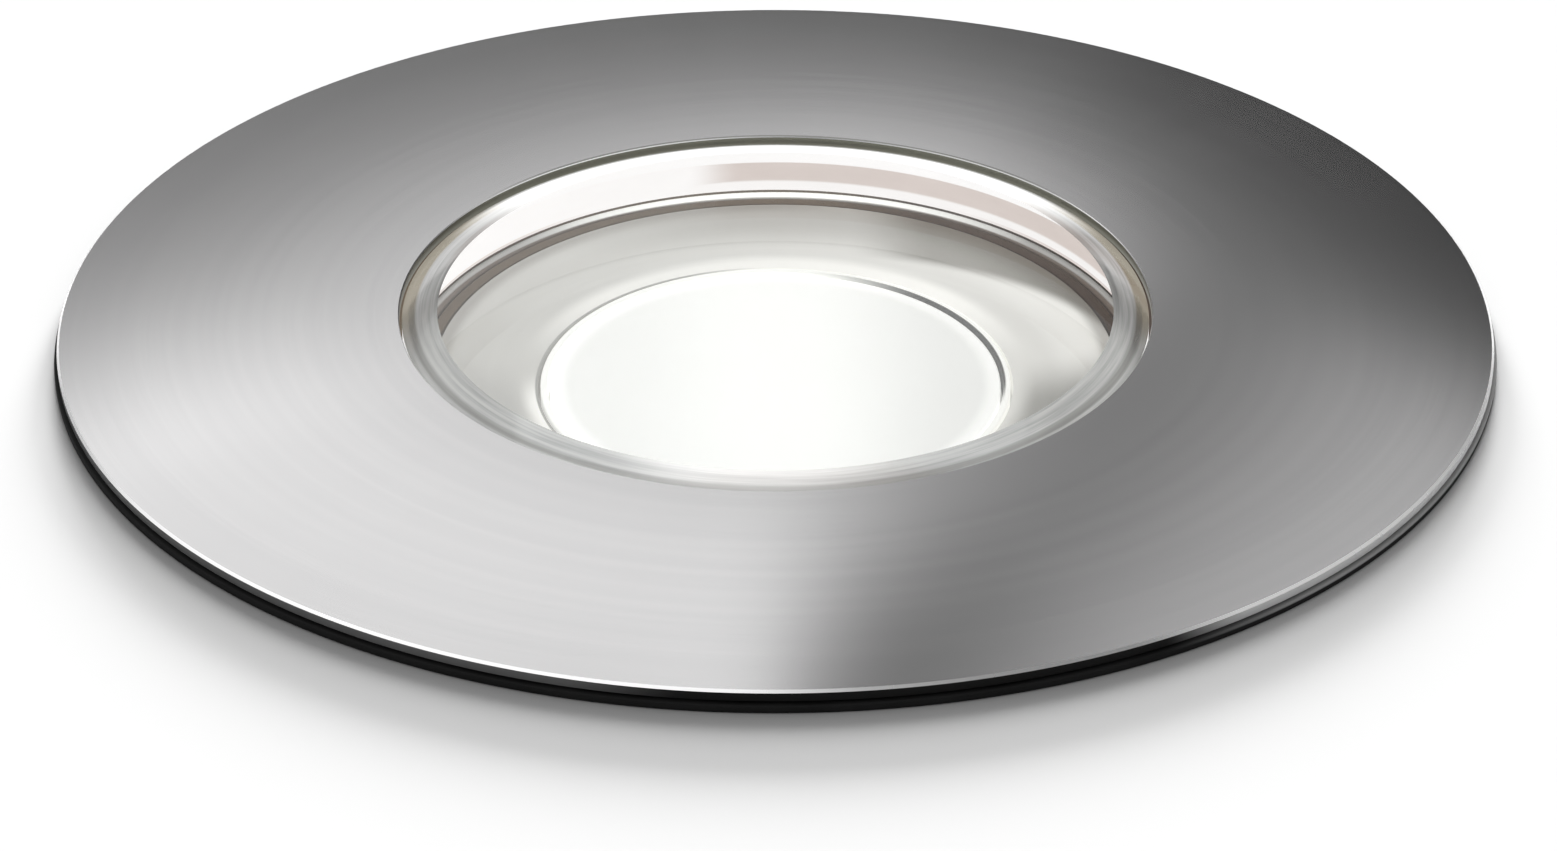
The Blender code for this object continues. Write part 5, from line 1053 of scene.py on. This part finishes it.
cut(bracket, placed(rod("pin hole", PIN_HOLE, -HALF - PAST, HALF + PAST, 32, along="Y"), on_pin))
cut(bracket, placed(rod("screw hole", PIN_HOLE, back - PAST, front + PAST, 32, along="X"),
                    (0, 0, PAD_SCREW_HEIGHT)))
seat_round("clip_brackets", bracket, "zinc", "clip_bracket", 3, start=clip_start)

shape = bmesh.new()
end = HALF + GAP
add_turned(shape, soft_corners([
    (0, end + HEAD_THICKNESS), (PIN_HEAD, end + HEAD_THICKNESS), (PIN_HEAD, end), (PIN, end),
    (PIN, -end - HEAD_THICKNESS), (0, -end - HEAD_THICKNESS)], 0.0003, 3, sharp=(0, 3, 5)), 32)
pointed(shape, "Y")
seat_round("clip_pins", placed(object_from(shape, "pin"), on_pin), "bright_steel", "clip_pin", 3,
           start=clip_start)

screw = socket_screw(0.0015, 0.0045)
screw.data.transform(Matrix.Translation((front + GAP, 0, PAD_SCREW_HEIGHT)) @ Matrix.Rotation(pi / 2, 4, "Y"))
seat_round("bracket_screws", screw, "zinc", "bracket_screw", 3, start=clip_start)

# %% [markdown]
# ## Torsion springs
# A torsion spring is one wire: a leg against the bracket, two and a half turns round the pin, and a leg
# against the arm. The line is worked out step by step and the wire tree gives it its round section.

# %% Springs
COIL, PITCH, LEG, WIRE, TURNS, STEPS = 0.0027, 0.0042, 0.0065, 0.00045, 2.5, 60
points = [(-COIL, -PITCH / 2, -LEG), (-COIL, -PITCH / 2, -LEG / 2)]
for step in range(STEPS + 1):
    a = pi - step / STEPS * TURNS * tau
    points.append((COIL * cos(a), PITCH * (step / STEPS - 0.5), COIL * sin(a)))
points += [(COIL, PITCH / 2, -LEG / 2), (COIL, PITCH / 2, -LEG)]
spring = placed(wire("spring", "spring_steel", points, WIRE), on_pin)
seat_round("clip_springs", spring, "spring_steel", "clip_spring", 3, start=clip_start)

# %% [markdown]
# ## Clip arms
# The arm is a strip of spring steel: rolled round the pin at its top, bent outwards at the elbow that grips
# the sleeve, and bent back in at its foot so that it slides in easily. The strip's middle line has rounded
# bends, and a second line beside it gives the thickness.

# %% Arms
def strip_outline(line, thickness):
    """A line of (x, z) points and the same line moved to one side."""
    outer = [Vector(point) for point in line]
    inner = []
    for index, point in enumerate(outer):
        ahead = outer[min(index + 1, len(outer) - 1)] - outer[max(index - 1, 0)]
        inner.append(point + Vector((ahead.y, -ahead.x)).normalized() * thickness)
    return [tuple(point) for point in outer + inner[::-1]]


ARM_HALF, ARM_SHEET, ARM_BEND, ELBOW_DROP = 0.0080, 0.0010, 0.0016, 0.0330
WALL_OUT, WALL_IN, WALL_FACETS = 0.0700, 0.0670, 40
reach = sqrt((WALL_IN * cos(pi / WALL_FACETS)) ** 2 - ARM_HALF ** 2) - GAP
elbow = Vector((reach, PIN_HEIGHT - ELBOW_DROP))
start = Vector((PIN_REACH + 0.0015, PIN_HEIGHT))
toe = elbow + Vector((-0.0050, -0.0070))
into, out = (elbow + (end - elbow).normalized() * ARM_BEND for end in (start, toe))
curve = [into * (1 - t) ** 2 + (elbow * 2) * t * (1 - t) + out * t ** 2 for t in [step / 6 for step in range(7)]]
arm = placed(rod("arm", 0.0030, -ARM_HALF, ARM_HALF, 48, along="Y"), on_pin)
join(arm, prism("strip", strip_outline([start] + curve + [toe], ARM_SHEET), -ARM_HALF, ARM_HALF, along="Y"))
cut(arm, placed(rod("notch", 0.0080, -0.00285, 0.00285, 48, along="Y"), on_pin))
cut(arm, placed(rod("bore", PIN_HOLE, -0.0100, 0.0100, 40, along="Y"), on_pin))
for index in range(3):
    piece = set_round(f"clip_arm_bent_{index + 1}", arm, "spring_steel", 1, start=clip_start + index * tau / 3)
    seat(piece, "spring_steel", f"clip_arm_{index + 1}", body=f"clip_{index + 1}")
bpy.data.objects.remove(arm)

# %% [markdown]
# ## Sleeve
# The sleeve is an injection-moulded tube that stays in the ground. Its wall, flange and band are one turned
# outline. Two cable entries stand out of its sides, and eight ribs carry the flange. The ribs are one tapered
# plate that the tree sets round the axis, rooted a little inside the wall.

# %% Sleeve
FLANGE, FLANGE_THICKNESS = 0.0780, 0.0030
BAND, BAND_LOW, BAND_HIGH = 0.0725, 0.07145, 0.07545
ENTRY, ENTRY_BORE, ENTRY_HEIGHT = 0.0160, 0.0130, 0.0240
RIB_ROOT, RIB_TIP, RIB_DROP, RIB_HALF = 0.0005, 0.0015, 0.0300, 0.00125
PLUG, PLUG_WALL, DRAIN, BASE_THICKNESS = 0.0667, 0.0645, 0.0220, 0.0030
sleeve_low, sleeve_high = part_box("sleeve")
flange_under = sleeve_high.z - FLANGE_THICKNESS
sleeve = turned("sleeve_moulded", [
    (WALL_IN, sleeve_high.z), (FLANGE, sleeve_high.z), (FLANGE, flange_under), (WALL_OUT, flange_under),
    (WALL_OUT, BAND_HIGH), (BAND, BAND_HIGH), (BAND, BAND_LOW), (WALL_OUT, BAND_LOW),
    (WALL_OUT, sleeve_low.z), (WALL_IN, sleeve_low.z)], 160, soft=0.0005)
for turn in (0, pi):
    entry = rod("entry", ENTRY, 0.0674, 0.0760, 64, along="X", edge=0.0006)
    join(sleeve, placed(entry, (0, 0, ENTRY_HEIGHT), turn))
for turn in (0, pi):
    bore = rod("entry bore", ENTRY_BORE, 0.0600, 0.0800, 64, along="X")
    cut(sleeve, placed(bore, (0, 0, ENTRY_HEIGHT), turn))
seat(dress(sleeve, "black_plastic"), "black_plastic", "sleeve", body="sleeve")

rib = prism("rib", soft_corners([
    (WALL_OUT - RIB_ROOT, flange_under + RIB_ROOT), (FLANGE - RIB_TIP, flange_under + RIB_ROOT),
    (FLANGE - RIB_TIP, flange_under), (WALL_OUT + RIB_TIP, flange_under - RIB_DROP),
    (WALL_OUT - RIB_ROOT, flange_under - RIB_DROP)], 0.0006, 2, sharp=(0, 1, 4)),
    -RIB_HALF, RIB_HALF, along="Y")
ribs = set_round("sleeve_ribs", rib, "black_plastic", 8, start=radians(22.5))
bpy.data.objects.remove(rib)
seat(ribs, "black_plastic", "sleeve", body="sleeve")

base_low, base_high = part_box("sleeve_base")
floor_top = base_low.z + BASE_THICKNESS
base = turned("sleeve_base_moulded", [
    (PLUG, base_high.z), (PLUG, floor_top), (WALL_OUT, floor_top), (WALL_OUT, base_low.z),
    (DRAIN, base_low.z), (DRAIN, floor_top), (PLUG_WALL, floor_top), (PLUG_WALL, base_high.z)],
    160, soft=0.0004, sharp=(1, 6))
seat(dress(base, "black_plastic"), "black_plastic", "sleeve_base", body="sleeve")

# %% [markdown]
# ## Floor
# The light lies flush in a white surface. The floor is a thin disc with a hole for the sleeve. Near the ring
# it is a plain pale matt grey that the lamps bring up to white and that takes the object's shadow. Further out
# the camera, the glass and the metal see it fade to pure white, so that no edge shows against the background.

# %% Floor
FLOOR_HOLE, FLOOR_REACH, FLOOR_THICKNESS = 0.07815, 0.90, 0.0004
FADE_START, FADE_END = 0.175, 0.26


def plain_material(name):
    """A material with no shader yet; returns its tree and the surface's place."""
    material = bpy.data.materials.new(name)
    material.use_nodes = True
    tree = material.node_tree
    tree.nodes.remove(tree.nodes["Principled BSDF"])
    return tree, add(tree, "ShaderNodeTexCoord")["Object"]


def seen_directly(tree):
    """1 for what the camera, a mirror or a look through glass sees, 0 for light on matt surfaces."""
    rays = add(tree, "ShaderNodeLightPath")
    direct = rays["Is Camera Ray"] + rays["Is Glossy Ray"]
    return maths("ADD", direct, rays["Is Transmission Ray"], clamp=True)


rings = [(radius, ground) for radius in (FLOOR_HOLE, 0.090, 0.12, 0.18, 0.30, FLOOR_REACH)]
floor = turned("floor", rings + [(FLOOR_REACH, ground - FLOOR_THICKNESS),
                                 (FLOOR_HOLE, ground - FLOOR_THICKNESS)], 128)
tree, place = plain_material("floor_white")
fade = soft_step(length(place), FADE_START, FADE_END) * seen_directly(tree)
matt = add(tree, "ShaderNodeBsdfDiffuse", Color=0.52)
show_mix(tree, fade, matt, add(tree, "ShaderNodeEmission", Color=1.0, Strength=1.0))
dress(floor, "floor_white")

# %% [markdown]
# ## Light
# The studio is white all round: the camera, the metal and the glass see pure white. The matt surfaces get a
# softer sky that is brighter behind than in front, and one broad lamp from behind.
#
# The photograph has a dark, narrow shadow in front of the ring that grows lighter over a few millimetres.
# Three lamps from behind draw it, two of them low and one higher. They are linked to the floor alone, so the
# object itself is not overlit by them.

# %% World and lamps
world = bpy.data.worlds.new("studio")
bpy.context.scene.world = world
world.use_nodes = True
tree = world.node_tree
direction = add(tree, SEPARATE, Vector=add(tree, "ShaderNodeTexCoord")["Generated"])
sky = soft_step(direction["Y"], -0.6, 0.3, 0.35, 0.60)
fill(tree.nodes["Background"], "Strength", maths("MULTIPLY_ADD", seen_directly(tree), 1.0 - sky, sky))
fill(tree.nodes["Background"], "Color", 1.0)
world.cycles.sampling_method = "NONE"


def sun(name, strength, spread, azimuth, elevation):
    """A distant soft lamp that the metal does not mirror; azimuth 90 is straight behind."""
    lamp = bpy.data.lights.new(name, "SUN")
    lamp.energy, lamp.angle = strength, radians(spread)
    made = linked(name, lamp)
    a, e = radians(azimuth), radians(elevation)
    made.rotation_euler = Vector((cos(a) * cos(e), sin(a) * cos(e), sin(e))).to_track_quat("Z", "Y").to_euler()
    made.visible_glossy = made.visible_transmission = False
    return made


sun("back_lamp", 2.0, 34, 87, 28)
only_floor = bpy.data.collections.new("only_the_floor")
only_floor.objects.link(floor)
for strength, spread, azimuth, elevation in ((8.4, 10, 82, 8.5), (8.4, 10, 96, 8.5), (2.6, 26, 88, 26)):
    floor_lamp = sun("floor_lamp", strength, spread, azimuth, elevation)
    floor_lamp.light_linking.receiver_collection = only_floor

# %% [markdown]
# ## Light tent
# Brushed steel looks like whatever stands round it, so a photographer builds a small tent over it. This one is
# a dome that only mirrors see: the metal, the plastics' sheen and the glass's faces, but not a ray that has
# passed through the glass. One broad panel glows behind and to the left, a weaker one behind and to the right,
# and a low one at the left. Two cards, a light one at the left and a dimmer one at the right, fill in from the
# sides, and the rest is dark cloth. The soft edges are written as angles: degrees round from straight behind,
# to the left, and degrees up.

# %% Tent
TENT_RADIUS, TENT_OUTSIDE = 0.30, 1.01
DEGREES = 180 / pi
dome = [(TENT_RADIUS * cos(step / 24 * pi / 2), TENT_RADIUS * sin(step / 24 * pi / 2)) for step in range(24)]
dome.append((0, TENT_RADIUS))
outside = [(TENT_OUTSIDE * radius, TENT_OUTSIDE * height) for radius, height in reversed(dome)]
tent = turned("light_tent", [(radius, ground + height) for radius, height in dome + outside], 96)
tree, place = plain_material("tent_cloth")
toward = outward(maths("SUBTRACT", place, (0, 0, ring_top), kind=VECTOR))
parts = add(tree, SEPARATE, Vector=toward)
left = maths("ARCTAN2", parts["X"] * -1.0, parts["Y"]) * DEGREES
rise = maths("ARCSINE", parts["Z"]) * DEGREES


def beyond(value, edge, softness, slant=0.0):
    """1 past an edge and 0 before it; slant moves a sideways edge with each degree up from 45."""
    if slant:
        value = value - (rise - 45.0) * slant
    return soft_step(value, edge - softness / 2, edge + softness / 2)


def panel(level, right, left_edge, low=None, high=None):
    """A glowing patch between two sideways edges and two heights, each (edge, softness, slant)."""
    glow = maths("SUBTRACT", beyond(left, *right), beyond(left, *left_edge), clamp=True)
    if low:
        glow = glow * beyond(left * low[2] + rise, *low[:2])
    if high:
        glow = glow * (1.0 - beyond(left * high[2] + rise, *high[:2]))
    return glow * level


main_panel = panel(1.2, (-6, 12, 0.2), (58, 10, -0.1), low=(25, 16, 0.0))
side_panel = panel(0.7, (-94, 22, -3.0), (-25, 34, -0.1), high=(62, 40, 0.3))
low_panel = panel(0.45, (32, 85), (42, 5), high=(34, 2, 0.0))
cards = beyond(maths("ABSOLUTE", left), 64.0, 16.0) * soft_step(parts["X"], -0.3, 0.5, 0.75, 0.25)
cards = cards * beyond(rise, 14.0, 12.0) * (1.0 - beyond(rise, 68.0, 14.0))
glow = add(tree, "ShaderNodeEmission", Color=1.0, Strength=main_panel + side_panel + low_panel + cards)
show_mix(tree, add(tree, "ShaderNodeLightPath")["Is Transmission Ray"], glow,
         add(tree, "ShaderNodeBsdfTransparent"))
for way in ("camera", "diffuse", "transmission", "shadow", "volume_scatter"):
    setattr(tent, "visible_" + way, False)
dress(tent, "tent_cloth")

# %% [markdown]
# ## Camera
# The photograph looks down at 28 degrees. The ring's ellipse and the ellipse of its hole together fix how far
# away the camera stood, in ring radii; the lens then follows from the ring's width in the picture.

# %% Camera
LENS, SENSOR, RADII_AWAY = 97.48, 36.0, 5.93
LOOK_DOWN, AIM_BELOW, ROLL = 27.97, 1.7025, -0.000806
lens_data = bpy.data.cameras.new("photo_camera")
lens_data.lens, lens_data.sensor_width = LENS, SENSOR
camera = linked("photo_camera", lens_data)
away, down = RADII_AWAY * ring_radius, radians(LOOK_DOWN)
camera.location = (0, -away * cos(down), ring_top + away * sin(down))
camera.rotation_euler = (radians(90 - LOOK_DOWN - AIM_BELOW), 0, ROLL)
bpy.context.scene.camera = camera
bpy.context.scene.view_settings.view_transform = "Standard"
